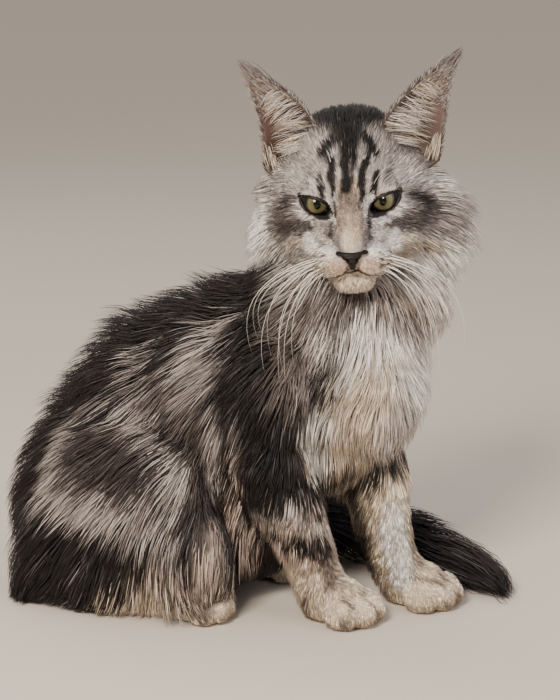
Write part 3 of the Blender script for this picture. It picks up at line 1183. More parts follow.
@dataclass
class Skin:
    """The whole body under the coat, as one mesh."""

    anatomy: Anatomy
    body_voxel: float = 3.0
    body_rounds: int = 4
    head_voxel: float = 1.3
    paw_voxel: float = 1.5
    small_rounds: int = 3
    lid_growth: float = 1.04
    lid_depth: float = 18.0
    lid_rise: float = 2.4
    most_verts: int = 2 ** 17

    def torso(self) -> list[Matrix]:
        """Trunk from the rump to the shoulders."""
        rear, fore = REAR_MIDLINE, FORE_MIDLINE
        return [
            egg((rear, 112, 57), (51, 43, 50)), egg((rear, 98, 77), (51, 47, 48)),
            egg((rear, 62, 106), (55, 52, 63)), egg((rear + 2, 36, 84), (57, 51, 55)),
            egg((rear + 4, -6, 74), (37, 31, 45)), egg((rear + 4, 18, 132), (53, 59, 61), -35),
            egg((fore - 2, -24, 146), (51, 49, 55), -45), egg((fore - 3, -12, 176), (35, 37, 31)),
            egg((-22, -34, 138), (19, 27, 43), 10), egg((56, -48, 138), (19, 27, 43), 10),
            egg((fore, -60, 150), (37, 29, 41)), egg((fore, -56, 114), (28, 21, 32)),
        ]

    def neck(self) -> list[Matrix]:
        """Neck and breast."""
        fore = FORE_MIDLINE
        return [
            egg((fore - 2, -44, 200), (34, 32, 30)), egg((fore - 4, -54, 220), (32, 30, 24)),
            egg((fore - 2, -84, 190), (37, 27, 41)), egg((fore + 2, -90, 160), (31, 21, 37)),
            egg((fore + 22, -95, 208), (22, 24, 23)),
        ]

    def hindleg(self, side: int) -> list[Matrix]:
        """Folded thigh and knee of one side."""
        x = REAR_MIDLINE
        return [
            egg((x + side * 46, 56, 66), (32, 60, 54), -12), egg((x + side * 46, 84, 44), (30, 46, 40)),
            egg((x + side * 44, 102, 26), (28, 32, 20)), egg((x + side * 45, 70, 20), (27, 42, 16)),
            egg((x + side * 56, 8, 46), (20, 28, 28), -30),
        ]

    def hindfoot(self, side: int) -> list[Matrix]:
        """Long hind foot lying flat."""
        x = REAR_MIDLINE + side * 52
        lumps = chain(((x, 60, 12, 12), (x, 28, 12, 11.5), (x, 6, 11, 12.5)), 4.0)
        for across, ahead, size in ((-12, -5, 6.2), (-4, -10, 7), (5, -9, 7), (13, -3, 6.2)):
            lumps.append(egg((x + across, ahead, 8.5), (size, size + 3, 8)))
        return lumps

    def head(self) -> list[Matrix]:
        """Skull, muzzle, cheeks, chin and brows."""
        lumps = [
            egg((0, -36, 14), (33, 40, 32)), egg((0, -12, 13), (25, 22.5, 18.5)),
            egg((0, -58, -10), (28, 20, 26)), egg((0, -32, -35), (22, 21, 18)),
            egg((0, -2, -38), (16, 22, 10.5)), egg((0, 19.5, -44.2), (12.6, 10, 7.4)),
            egg((0, 33.5, -24), (6.5, 5, 4.8)),
            *chain(((0, 0, 2, 13.5), (0, 18, -10, 11.6), (0, 28.5, -19, 9.6)), 3.0),
            *both((26, -34, 4), (21, 24, 21)), *both((16, -3, 10), (10.6, 10.6, 7.6)),
            *both((12, 8, -13), (12.4, 16.5, 11.5)), *both((27, -18, -9), (18, 23, 19)),
            *both((20, -6, -24), (17, 22, 15)), *both((26, -34, -22), (19, 20, 20)),
            *both((11.4, 24.6, -30.4), (12.8, 11.6, 10.0)),
            *both((EYE_OFFSET, EYE_DEPTH, 0), (10.7, 10.7, 10.7)),
            *both((EYE_OFFSET - 1, 4.6, 7.6), (9.5, 4.2, 2.4)), egg((36, -34, -26), (17, 16, 22)),
            egg((-40, -35, -24), (19, 17, 21)), egg((-34, -28, -8), (18, 18, 18)),
            egg((-41, -40, -38), (18, 16, 17)),
        ]
        return [self.anatomy.head @ lump for lump in lumps]

    def parts(self) -> dict[Part, list[Matrix]]:
        """The eggs of every part."""
        return {
            Part.TORSO: self.torso(), Part.NECK: self.neck(), Part.HEAD: self.head(),
            Part.FORELEG_RIGHT: LEGS["right"].arm(), Part.FORELEG_LEFT: LEGS["left"].arm(),
            Part.FOREPAW_RIGHT: LEGS["right"].paw(), Part.FOREPAW_LEFT: LEGS["left"].paw(),
            Part.HINDLEG_RIGHT: self.hindleg(-1), Part.HINDLEG_LEFT: self.hindleg(1),
            Part.HINDFOOT_RIGHT: self.hindfoot(-1), Part.HINDFOOT_LEFT: self.hindfoot(1),
            Part.TAIL: chain(TAIL_LINE),
        }

    def lid_opening(self, side: int) -> Object:
        """Cutter for the almond opening between the lids, which rises as it comes forward."""
        mesh = bmesh.new()
        grown = self.lid_growth
        rim = [mesh.verts.new((side * (EYE_OFFSET + across * grown), LID_START, height * grown))
               for across, height in LID_LINE]
        made = bmesh.ops.extrude_face_region(mesh, geom=[mesh.faces.new(rim)])
        moved = [part for part in made["geom"] if isinstance(part, BMVert)]
        bmesh.ops.translate(mesh, verts=moved, vec=(0.0, self.lid_depth, self.lid_rise))
        bmesh.ops.recalc_face_normals(mesh, faces=mesh.faces)
        bmesh.ops.transform(mesh, verts=mesh.verts, matrix=self.anatomy.head)
        return link(mesh, "opening")

    def build(self) -> Object:
        """Melts and joins the skin, opens its lids and adds its ears.

        Returns:
            The skin in the working frame. Its faces' parts are kept in labels.
        """
        parts = self.parts()
        small = (Part.HEAD, Part.FOREPAW_RIGHT, Part.FOREPAW_LEFT, Part.HINDFOOT_RIGHT, Part.HINDFOOT_LEFT)
        trunk = [lump for part, lumps in parts.items() if part not in small for lump in lumps]
        skin = clay("skin", trunk, self.body_voxel, self.body_rounds)
        others = []
        for part in small:
            voxel = self.head_voxel if part is Part.HEAD else self.paw_voxel
            others.append(clay("lump", parts[part], voxel, self.small_rounds))
        combine(skin, others, "UNION", "MANIFOLD")
        combine(skin, [self.lid_opening(side) for side in SIDES.values()], "DIFFERENCE", "MANIFOLD")
        mesh = bmesh.new()
        mesh.from_mesh(skin.data)
        bmesh.ops.triangulate(mesh, faces=mesh.faces[:])
        mesh.verts.index_update()
        mesh.faces.sort(key=self.rank)
        self.flesh = len(mesh.faces)
        for side in SIDES.values():
            ear = EarShape(side).build(self.anatomy)
            mesh.from_mesh(ear.data)
            bpy.data.objects.remove(ear)
        bmesh.ops.triangulate(mesh, faces=mesh.faces[:])
        for vert in mesh.verts:
            vert.co.z = max(vert.co.z, SKIN_CLEARANCE)
        mesh.to_mesh(skin.data)
        mesh.free()
        skin.data.shade_smooth()
        self.label(skin, parts)
        return skin

    def rank(self, face: BMFace) -> float:
        """A triangle's number from its corners, since a Boolean gives its faces in a new order each run."""
        low, middle, high = sorted(vert.index for vert in face.verts)
        return float((high * self.most_verts + middle) * self.most_verts + low)

    def label(self, skin: Object, parts: dict[Part, list[Matrix]]) -> None:
        """Finds the part that each face belongs to.

        Args:
            skin: The skin's object.
            parts: The eggs of every part.
        """
        centres = read(skin.data.polygons, "center", 3)
        best = np.full(len(centres), np.inf)
        self.labels = np.full(len(centres), Part.EAR.value)
        for part, lumps in parts.items():
            for lump in lumps:
                back = np.array(lump.inverted())
                local = centres @ back[:3, :3].T + back[:3, 3]
                away = (np.linalg.norm(local, axis=1) - 1.0) * min(lump.to_scale())
                closer = away < best
                best[closer] = away[closer]
                self.labels[closer] = part.value
        self.labels[self.flesh:] = Part.EAR.value


class Surface:
    """The skin as arrays, with a search tree of its flesh and an unwrap of its shape."""

    def __init__(self, skin: Object, labels: np.ndarray, flesh: int) -> None:
        """Reads the skin and unwraps it.

        Args:
            skin: The skin in the working frame.
            labels: The number of the part of each face.
            flesh: How many faces come before the ears'.
        """
        bpy.context.view_layer.objects.active = skin
        skin.select_set(True)
        bpy.ops.object.mode_set(mode="EDIT")
        bpy.ops.mesh.select_all(action="SELECT")
        bpy.ops.uv.smart_project(angle_limit=math.radians(66.0), island_margin=0.002)
        bpy.ops.object.mode_set(mode="OBJECT")
        mesh = skin.data
        self.labels = labels
        self.verts = read(mesh.vertices, "co", 3)
        faces = read(mesh.loops, "vertex_index", 1, np.int32).reshape(-1, 3)
        turn = (faces.argmin(axis=1)[:, None] + np.arange(3)) % 3
        self.faces = np.take_along_axis(faces, turn, axis=1)
        corners = self.verts[self.faces]
        cross = np.cross(corners[:, 1] - corners[:, 0], corners[:, 2] - corners[:, 0])
        self.areas = np.linalg.norm(cross, axis=1) / 2.0
        self.centres = corners.mean(axis=1)
        self.vert_normals = np.zeros_like(self.verts)
        for corner in range(3):
            np.add.at(self.vert_normals, self.faces[:, corner], cross)
        self.vert_normals = unit(self.vert_normals)
        self.normals = unit(self.vert_normals[self.faces].mean(axis=1))
        layer = mesh.uv_layers.active
        layer.name = "unwrap"
        self.unwrap = read(layer.uv, "vector", 2).reshape(-1, 3, 2).mean(axis=1)
        self.tree = BVHTree.FromPolygons(self.verts.tolist(), self.faces[:flesh].tolist())

    def nearest(self, places: np.ndarray) -> tuple[np.ndarray, np.ndarray]:
        """Nearest places on the flesh.

        Args:
            places: Rows of x, y, z.

        Returns:
            The places on the surface and the number of the face that each is on.
        """
        found = np.empty_like(places)
        faces = np.empty(len(places), int)
        find = self.tree.find_nearest
        for row, place in enumerate(places.tolist()):
            spot, _, face, _ = find(place)
            found[row] = spot
            faces[row] = face
        return found, faces

    def scatter(self, density: np.ndarray,
                rng: Generator) -> tuple[np.ndarray, np.ndarray, np.ndarray]:
        """Random places on the surface.

        Args:
            density: Places a square millimetre, for each face.
            rng: Source of the draws.

        Returns:
            The places, their smooth normals and the faces that they are on.
        """
        weight = self.areas * density
        count = int(weight.sum())
        faces = np.sort(rng.choice(len(weight), size=count, p=weight / weight.sum()))
        a, b = rng.random(count), rng.random(count)
        over = a + b > 1.0
        a[over], b[over] = 1.0 - a[over], 1.0 - b[over]
        share = np.stack([1.0 - a - b, a, b], axis=1)[:, :, None]
        corners = self.faces[faces]
        places = (self.verts[corners] * share).sum(axis=1)
        normals = unit((self.vert_normals[corners] * share).sum(axis=1))
        return places, normals, faces


PATCH_WIDTH = 0.0024
PATCH_HEIGHT = 0.003
FLOOR_OF_TUFT = 0.35
RIDGE_OF_TUFT = 0.6


@dataclass
class Tufts:
    """Many tufts: their lines, the way each faces, half widths, colours and places on the unwrap.

    A tuft's section is a flat triangle whose ridge faces outwards, and its patch on the unwrap is tiny.
    """

    lines: np.ndarray
    outward: np.ndarray
    half: np.ndarray
    colours: np.ndarray
    unwrap: np.ndarray

    def taken(self, chosen: np.ndarray) -> "Tufts":
        """Some of the tufts."""
        return Tufts(self.lines[chosen], self.outward[chosen], self.half[chosen], self.colours[chosen],
                     self.unwrap[chosen])

    def triangles(self) -> int:
        """How many triangles the tufts take."""
        return len(self.lines) * (6 * (self.lines.shape[1] - 2) + 4)

    def build(self, name: str, anatomy: Anatomy, material: Material) -> Object:
        """One mesh of closed three-sided tufts.

        Args:
            name: The piece's name.
            anatomy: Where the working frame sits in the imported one.
            material: The hair's material.

        Returns:
            The new piece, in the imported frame.
        """
        count, stations = self.lines.shape[:2]
        rings = stations - 1
        along = np.gradient(self.lines, axis=1)
        across = unit(np.cross(along, self.outward))
        upward = unit(np.cross(across, along))
        half = self.half[:, :rings, None]
        middle, across, upward = self.lines[:, :rings], across[:, :rings], upward[:, :rings]
        corners = np.stack([middle - across * half - upward * half * FLOOR_OF_TUFT,
                            middle + across * half - upward * half * FLOOR_OF_TUFT,
                            middle + upward * half * RIDGE_OF_TUFT], axis=2)
        verts = np.concatenate([corners.reshape(count, rings * 3, 3), self.lines[:, -1:]], axis=1)
        verts[:, :, 2] = np.maximum(verts[:, :, 2], TUFT_CLEARANCE)
        faces = [(0, 1, 2)]
        for ring in range(rings - 1):
            for corner in range(3):
                after = (corner + 1) % 3
                low, high = ring * 3, ring * 3 + 3
                faces.append((low + corner, high + corner, high + after))
                faces.append((low + corner, high + after, low + after))
        last, tip = (rings - 1) * 3, rings * 3
        faces += [(last, tip, last + 1), (last + 1, tip, last + 2), (last + 2, tip, last)]
        size = rings * 3 + 1
        loops = (np.array(faces)[None] + (np.arange(count) * size)[:, None, None]).reshape(-1)
        mesh = bpy.data.meshes.new(name)
        mesh.vertices.add(count * size)
        mesh.vertices.foreach_set("co", anatomy.packed(verts.reshape(-1, 3)).ravel())
        mesh.loops.add(len(loops))
        mesh.loops.foreach_set("vertex_index", loops.astype(np.int32))
        mesh.polygons.add(len(loops) // 3)
        mesh.polygons.foreach_set("loop_start", np.arange(0, len(loops), 3, dtype=np.int32))
        mesh.update(calc_edges=True)
        mesh.polygons.foreach_set("use_smooth", np.ones(len(loops) // 3, bool))
        station = np.append(np.repeat(np.arange(rings), 3), rings)
        rgba = np.ones((count, size, 4))
        rgba[:, :, :3] = np.clip(self.colours[:, station], 0.0, 1.0)
        write_colours(mesh, rgba)
        side = np.append(np.tile([-PATCH_WIDTH / 2.0, PATCH_WIDTH / 2.0, 0.0], rings), 0.0)
        rise = station / rings * PATCH_HEIGHT - PATCH_HEIGHT / 2.0
        patch = self.unwrap[:, None] + np.stack([side, rise], axis=1)[None]
        mesh.uv_layers.new(name="OFBake").uv.foreach_set("vector", patch.reshape(-1, 2)[loops].ravel())
        mesh.materials.append(material)
        piece = bpy.data.objects.new(name, mesh)
        bpy.context.scene.collection.objects.link(piece)
        return piece


LID_START = 2.0
LID_SLOPE = 0.13
ZONE_TILT = math.radians(27.0)
ZONE_LENGTH = 11.3
ZONE_HEIGHT = 5.9
FACE_BACK = -4.0


def eye_zone(places: np.ndarray, growth: float = 1.0) -> np.ndarray:
    """Whether places in the head's frame are in the tilted oval round an eye.

    Args:
        places: Rows of x, y, z.
        growth: Size of the oval, as a share of the lids' opening.

    Returns:
        One truth value a row.
    """
    across = np.abs(places[:, 0]) - EYE_OFFSET
    height = places[:, 2] - LID_SLOPE * (places[:, 1] - LID_START)
    cos, sin = math.cos(ZONE_TILT), math.sin(ZONE_TILT)
    x = (across - 0.3) * cos + (height + 1.4) * sin
    z = -(across - 0.3) * sin + (height + 1.0) * cos
    inside = (x / ZONE_LENGTH) ** 2 + (z / ZONE_HEIGHT) ** 2 < growth ** 2
    return inside & (places[:, 1] > FACE_BACK)


def clump(lines: np.ndarray, shares: tuple, members: int, pull: float,
          rng: Generator) -> np.ndarray:
    """Draws the tufts round each of some leaders together towards their tips.

    Args:
        lines: The tufts' lines.
        shares: How far along each station is.
        members: How many tufts a leader has, on average.
        pull: How far the tips close up, from 0 to 1.
        rng: Source of the draws.

    Returns:
        The changed lines.
    """
    leaders = rng.choice(len(lines), size=max(1, len(lines) // members), replace=False)
    tree = KDTree(len(leaders))
    for index, root in enumerate(lines[leaders, 0].tolist()):
        tree.insert(root, index)
    tree.balance()
    group = np.array([tree.find(root)[1] for root in lines[:, 0].tolist()])
    total = np.zeros((len(leaders), *lines.shape[1:]))
    np.add.at(total, group, lines)
    mean = total / np.bincount(group, minlength=len(leaders))[:, None, None]
    strength = pull * rng.uniform(0.6, 1.2, len(leaders))[group].clip(0.0, 0.95)
    share = strength[:, None] * np.array(shares)[None] ** 1.4
    return lines + (mean[group] - lines) * share[:, :, None]


@dataclass(frozen=True)
class Growth:
    """How tufts of one range of lengths are built: stations, relative widths, and the locks they close to.

    Each lock gives how many tufts it has on average and how far their tips close up, the large locks first.
    """

    shortest: float
    longest: float
    shares: tuple
    shape: tuple
    locks: tuple


GROWTHS = (
    Growth(16.0, 99.0, (0.0, 0.34, 0.7, 1.0), (0.8, 1.0, 0.66), ((44, 0.35), (9, 0.6))),
    Growth(9.0, 16.0, (0.0, 0.5, 1.0), (0.95, 0.8), ((44, 0.35), (9, 0.6))),
    Growth(0.0, 9.0, (0.0, 0.5, 1.0), (0.95, 0.8), ((9, 0.4),)),
)


@dataclass
class Coat:
    """The coat of the whole body but the ears."""

    anatomy: Anatomy
    surface: Surface
    field: LieField
    markings: Markings
    thickness: float = 1.0
    limit: int = 190000
    parting: float = 1.1
    sag: float = 0.22

    def __post_init__(self) -> None:
        """Lays the line of the mouth on the skin, in the head's frame."""
        self.mouth = []
        for side in SIDES.values():
            line = self.anatomy.from_head(np.array(MOUTH_LINE) * (side, 1.0, 1.0))
            self.mouth.append(self.anatomy.into_head(self.surface.nearest(line)[0]))

    def density(self) -> np.ndarray:
        """Tufts a square millimetre on each face of the skin."""
        _, sizes = self.field.at(self.surface.centres, self.surface.labels)
        made = sizes[:, 3] / (sizes[:, 0] * sizes[:, 2] * 0.55) * self.thickness
        made[self.surface.labels == Part.EAR.value] = 0.0
        hidden = (self.surface.normals[:, 2] < -0.75) & (self.surface.centres[:, 2] < 14.0)
        made[hidden | (self.surface.centres[:, 2] < 1.5)] = 0.0
        return made

    def bare(self, places: np.ndarray) -> np.ndarray:
        """Whether places in the head's frame are in an eye's opening, on the nose leather or in the mouth."""
        low = np.clip((-22.0 - places[:, 2]) / 12.0, 0.0, 1.0)
        nose = (np.abs(places[:, 0]) < 9.2 * (1.0 - low) + 0.4) & (np.abs(places[:, 2] + 28.0) < 6.0)
        nose &= places[:, 1] > 30.0
        mouth = np.zeros(len(places), bool)
        front = places[:, 1] > 8.0
        for line in self.mouth:
            mouth[front] |= self.markings.near_line(places[front], line) < self.parting
        return eye_zone(places) | nose | mouth

    def march(self, start: np.ndarray, normal: np.ndarray, way: np.ndarray, sizes: np.ndarray,
              parts: np.ndarray, shares: tuple) -> tuple[np.ndarray, np.ndarray, np.ndarray]:
        """Follows the coat's lie over the skin.

        Args:
            start: The roots.
            normal: The way the skin faces there.
            way: The way each tuft sets out.
            sizes: Length, lift and freedom of each.
            parts: The number of the part of each.
            shares: How far along each station is.

        Returns:
            The lines of the tufts, the way that each station faces and the places on the skin below them.
        """
        lines, outward, below = [], [], []
        length, lift, free = sizes[:, :1], sizes[:, 1:2], sizes[:, 2:]
        place, first, facing = start, way, normal
        for index, share in enumerate(shares):
            off = (lift + 1.0) * share ** 0.8 - 1.0
            hugging = place + normal * off
            straight = start + first * (length * share) + facing * off
            straight[:, 2:] -= length * self.sag * share ** 2
            blended = hugging + (straight - hugging) * free
            high = ((blended - place) * normal).sum(axis=1, keepdims=True)
            lines.append(blended + normal * np.maximum(off * 0.6 - high, 0.0))
            outward.append(normal)
            below.append(place)
            if index + 1 == len(shares):
                break
            flat = unit(way - normal * (way * normal).sum(axis=1, keepdims=True))
            ahead = place + flat * length * (shares[index + 1] - share)
            place, faces = self.surface.nearest(ahead)
            normal = unit(normal * 0.35 + self.surface.normals[faces] * 0.65)
            way = unit(flat * 0.55 + self.field.at(place, parts)[0] * 0.45)
        return np.stack(lines, axis=1), np.stack(outward, axis=1), np.stack(below, axis=1)

    def tint(self, below: np.ndarray, parts: np.ndarray, sizes: np.ndarray, shares: tuple,
             rng: Generator) -> np.ndarray:
        """Colours of the tufts' stations: darker at the root, and some tufts darker or lighter than the rest.

        Args:
            below: The places on the skin below each station.
            parts: The number of the part of each tuft.
            sizes: The length of each tuft.
            shares: How far along each station is.
            rng: Source of the draws.

        Returns:
            Linear colours, for each tuft and station.
        """
        feather = rng.uniform(-0.38, 0.38, (len(below), 1))
        middle = below[:, len(shares) // 2] + (below[:, -1] - below[:, 0]) * feather
        _, faces = self.surface.nearest(middle + rng.normal(0.0, 5.0, middle.shape))
        labels = np.where(parts == Part.HEAD.value, parts, self.surface.labels[faces])
        kept = ((labels == Part.HEAD.value) & (parts != Part.HEAD.value)) | (parts == Part.TAIL.value)
        labels = np.where(kept, parts, labels)
        colour = self.markings.at(middle, labels)
        ticking = np.where(sizes < 16.0, 0.3, 0.2)[:, None]
        flecks = self.markings.noise.at(middle + 500.0, 2.8) * ticking[:, 0] * 1.3
        colour *= np.exp(rng.normal(0.0, 1.0, (len(middle), 1)) * ticking + flecks[:, None])
        colour += (rng.random((len(middle), 1)) < 0.05) * 0.08
        root = 0.68 + 0.2 * colour.mean(axis=1, keepdims=True)
        return np.stack([colour * (root + (1.1 - root) * share) for share in shares], axis=1)

    def grow(self) -> dict[Part, list[Tufts]]:
        """Grows every tuft.

        Returns:
            The tufts of each part, long and short ones apart.
        """
        rng = np.random.default_rng(SEED)
        start, normal, faces = self.surface.scatter(self.density(), rng)
        parts = self.surface.labels[faces]
        head = parts == Part.HEAD.value
        open_skin = np.zeros(len(start), bool)
        open_skin[head] = self.bare(self.anatomy.into_head(start[head]))
        start, normal, faces, parts = (rows[~open_skin] for rows in (start, normal, faces, parts))
        way, sizes = self.field.at(start, parts)
        noise = self.markings.noise
        calm = np.where(sizes[:, 0] < 9.0, 0.4, 1.0) * np.where(parts == Part.NECK.value, 2.1, 1.0)
        swing = (noise.at(start, 19.0) * 0.38 + rng.normal(0.0, 0.13, len(start))) * calm
        across = np.cross(way, normal)
        way = unit(way * np.cos(swing)[:, None] + across * np.sin(swing)[:, None])
        length = sizes[:, 0] * rng.uniform(0.7, 1.15, len(start)) * (1.0 + 0.2 * noise.at(start + 90.0, 16.0))
        lift = sizes[:, 1] * rng.uniform(0.3, 1.12, len(start))
        width = sizes[:, 2] * rng.uniform(0.7, 1.25, len(start))
        made = {part: [] for part in Part}
        for growth in GROWTHS:
            chosen = (sizes[:, 0] >= growth.shortest) & (sizes[:, 0] < growth.longest)
            measures = np.stack([length[chosen], lift[chosen], sizes[chosen, 4]], axis=1)
            lines, outward, below = self.march(start[chosen], normal[chosen], way[chosen], measures,
                                               parts[chosen], growth.shares)
            for members, pull in growth.locks:
                lines = clump(lines, growth.shares, members, pull, rng)
            lines[:, :, 2] = np.maximum(lines[:, :, 2], LINE_CLEARANCE)
            half = width[chosen, None] / 2.0 * np.array(growth.shape)[None]
            colours = self.tint(below, parts[chosen], measures[:, 0], growth.shares, rng)
            tufts = Tufts(lines, outward, half, colours, self.surface.unwrap[faces[chosen]])
            labels = parts[chosen]
            clear = self.clear(lines)
            for part in Part:
                mine = clear & (labels == part.value)
                if mine.any():
                    made[part].append(tufts.taken(mine))
        return made

    def clear(self, lines: np.ndarray) -> np.ndarray:
        """Which tufts cross neither an eye's opening nor the nose leather or mouth at its height."""
        clear = np.ones(len(lines), bool)
        for station in range(1, lines.shape[1]):
            local = self.anatomy.into_head(lines[:, station])
            near = (local[:, 1] > FACE_BACK) & (local[:, 1] < 20.0) & (np.abs(local[:, 2]) < 12.0)
            inside = np.zeros(len(lines), bool)
            inside[near] = self.bare(local[near])
            clear &= ~inside
        return clear

    def build(self, material: Material) -> list[Object]:
        """Builds the coat's pieces, each below the limit of triangles."""
        pieces = []
        for part, groups in self.grow().items():
            for tufts in groups:
                count = math.ceil(tufts.triangles() / self.limit)
                for index in range(count):
                    chosen = np.arange(index, len(tufts.lines), count)
                    name = f"coat_{part.name.lower()}_{len(pieces)}"
                    pieces.append(tufts.taken(chosen).build(name, self.anatomy, material))
        return pieces


@dataclass
class EarCoat:
    """Hair of one ear: short fur on its back and rims, long hair across the cup and a tuft at the tip."""

    side: int
    anatomy: Anatomy
    surface: Surface
    back_count: int = 3000
    rim_count: int = 420
    cup_count: int = 260
    foot_count: int = 60
    tip_count: int = 130
    pull: float = 0.7

    def __post_init__(self) -> None:
        """Takes the ear's axes and starts the draws."""
        self.ear = EarShape(self.side)
        self.axis, self.facing = np.array(self.ear.axis), np.array(self.ear.facing)
        self.across = np.array(self.ear.across)
        self.rng = np.random.default_rng(SEED + self.side + 5)

    def sheet(self, share: np.ndarray, turn: np.ndarray) -> np.ndarray:
        """Places on the ear's middle sheet, in the head's frame."""
        return np.array([self.ear.point(s, t) for s, t in zip(share, turn)])

    def tufts(self, start: np.ndarray, way: np.ndarray, length: np.ndarray, width: tuple, hues: tuple,
              members: int = 0, bend: np.ndarray | float = 0.0, outward: np.ndarray | None = None) -> Tufts:
        """Tufts in the head's frame, brought into the working frame.

        Args:
            start: Their roots.
            way: Their directions.
            length: Their lengths.
            width: Least and greatest width.
            hues: Colours that are drawn from.
            members: How many close up into a lock, or 0 for short fur.
            bend: How far each tip is bent aside, as a vector.
            outward: The way that they face, where it isn't the ear's own.

        Returns:
            The tufts.
        """
        shares = (0.0, 0.35, 0.7, 1.0) if members else (0.0, 0.5, 1.0)
        count, stations = len(start), len(shares)
        flat = np.concatenate([start + way * length[:, None] * share + bend * share ** 2 for share in shares])
        lines = self.anatomy.from_head(flat).reshape(stations, -1, 3).swapaxes(0, 1)
        if members:
            lines = clump(lines, shares, members, self.pull, self.rng)
        outward = way * 0.0 + self.facing if outward is None else outward
        facing = np.broadcast_to(self.anatomy.turned(outward)[:, None], lines.shape)
        shape = np.array((0.85, 1.0, 0.6)[:stations - 1])
        half = self.rng.uniform(*width, (count, 1)) / 2.0 * shape
        table = np.array([linear(hue.value)[:3] for hue in hues])
        colour = table[self.rng.integers(0, len(hues), count)]
        colour = colour * np.exp(self.rng.normal(0.0, 0.15, (count, 1)))
        shades = [colour * (0.8 + 0.3 * share) for share in np.linspace(0.0, 1.0, stations)]
        _, faces = self.surface.nearest(lines[:, 0])
        return Tufts(lines, facing, half, np.stack(shades, axis=1), self.surface.unwrap[faces])

    def back(self) -> Tufts:
        """Short fur on the back."""
        rng, count = self.rng, self.back_count
        share, turn = rng.uniform(-0.1, 0.97, count), rng.uniform(-1.0, 1.0, count)
        start = self.sheet(share, turn) - self.facing * 0.5
        lean = -self.facing + self.across * turn[:, None] * 0.9
        fan = self.across * (turn * 0.25)[:, None]
        way = unit(self.axis + fan + lean * 0.1 + rng.normal(0, 0.08, start.shape))
        return self.tufts(start, way, rng.uniform(3, 5.5, count), (0.45, 0.75),
                          (Hue.SMOKE, Hue.SLATE, Hue.SLATE, Hue.ASH), outward=lean)

    def rims(self) -> Tufts:
        """Short fur along both rims."""
        rng, count = self.rng, self.rim_count
        edge = np.sign(rng.uniform(-1, 1, count))
        share = rng.uniform(-0.05, 0.98, count)
        start = self.sheet(share, edge * rng.uniform(0.92, 1.0, count)) + self.facing * 0.4
        fan = self.across * edge[:, None] * 0.16
        way = unit(self.axis + fan + self.facing * 0.12 + rng.normal(0, 0.08, start.shape))
        return self.tufts(start, way, rng.uniform(2.5, 5, count), (0.25, 0.45),
                          (Hue.SMOKE, Hue.SLATE, Hue.SILVER))

    def hollow(self) -> Tufts:
        """Short fur in the upper half of the cup."""
        rng, count = self.rng, self.rim_count
        share, turn = rng.uniform(0.55, 0.97, count), rng.uniform(-0.9, 0.9, count)
        way = unit(self.axis - self.across * 0.5 + self.facing * 0.15 + rng.normal(0, 0.12, (count, 3)))
        start = self.sheet(share, turn) + self.facing * 0.9
        return self.tufts(start, way, rng.uniform(4, 9, count), (0.25, 0.45), (Hue.ASH, Hue.SILVER, Hue.TAN))

    def cup(self) -> Tufts:
        """Long hair that sweeps out across the cup, where neighbouring locks swing together."""
        rng, count = self.rng, self.cup_count
        share = rng.uniform(0.0, 1.0, count)
        start = self.sheet(share * 0.88 - 0.1, rng.uniform(0.3, 0.95, count)) + self.facing * 1.0
        swirl = Noise(SEED + 3).at(start + 300.0, 9.0)
        rise = self.axis * (0.1 + 0.5 * (1.0 - share) + 0.5 * swirl)[:, None]
        way = unit(-self.across + self.facing * 0.4 + rise + rng.normal(0, 0.1, start.shape))
        length = rng.uniform(13, 38, count) * (1.0 - 0.5 * share)
        bend = -self.axis * rng.uniform(1, 9, (count, 1)) - self.facing * rng.uniform(1, 5, (count, 1))
        return self.tufts(start, way, length, (0.2, 0.4),
                          (Hue.WHITE, Hue.PEARL, Hue.SILVER, Hue.CREAM, Hue.SAND), 12, bend)

    def foot(self) -> Tufts:
        """Hair at the foot of the outer rim."""
        rng, count = self.rng, self.foot_count
        start = self.sheet(rng.uniform(-0.12, 0.12, count), rng.uniform(-0.98, -0.7, count))
        start += self.facing * 0.6
        way = unit(self.axis + self.across * 0.35 + self.facing * 0.3 + rng.normal(0, 0.12, start.shape))
        return self.tufts(start, way, rng.uniform(8, 15, count), (0.3, 0.5),
                          (Hue.CREAM, Hue.PEARL, Hue.TAN), 12)

    def tip(self) -> Tufts:
        """The tuft at the tip."""
        rng, count = self.rng, self.tip_count
        start = self.sheet(rng.uniform(0.72, 1.0, count), rng.uniform(-0.95, 0.95, count))
        way = unit(self.axis - self.across * 0.1 + rng.normal(0, 0.06, start.shape))
        length = rng.uniform(12, 25, count)
        bend = -self.across * rng.uniform(1, 4, (count, 1))
        return self.tufts(start, way, length, (0.4, 0.7), (Hue.SLATE, Hue.ASH, Hue.ASH, Hue.SMOKE), 60, bend)

    def build(self, material: Material) -> list[Object]:
        """Builds the ear's hair. The order of the groups is the order of their draws."""
        groups = (self.back(), self.rims(), self.hollow(), self.cup(), self.foot(), self.tip())
        name = f"ear_hair_{SIDE_NAMES[self.side]}"
        return [tufts.build(f"{name}_{index}", self.anatomy, material) for index, tufts in enumerate(groups)]


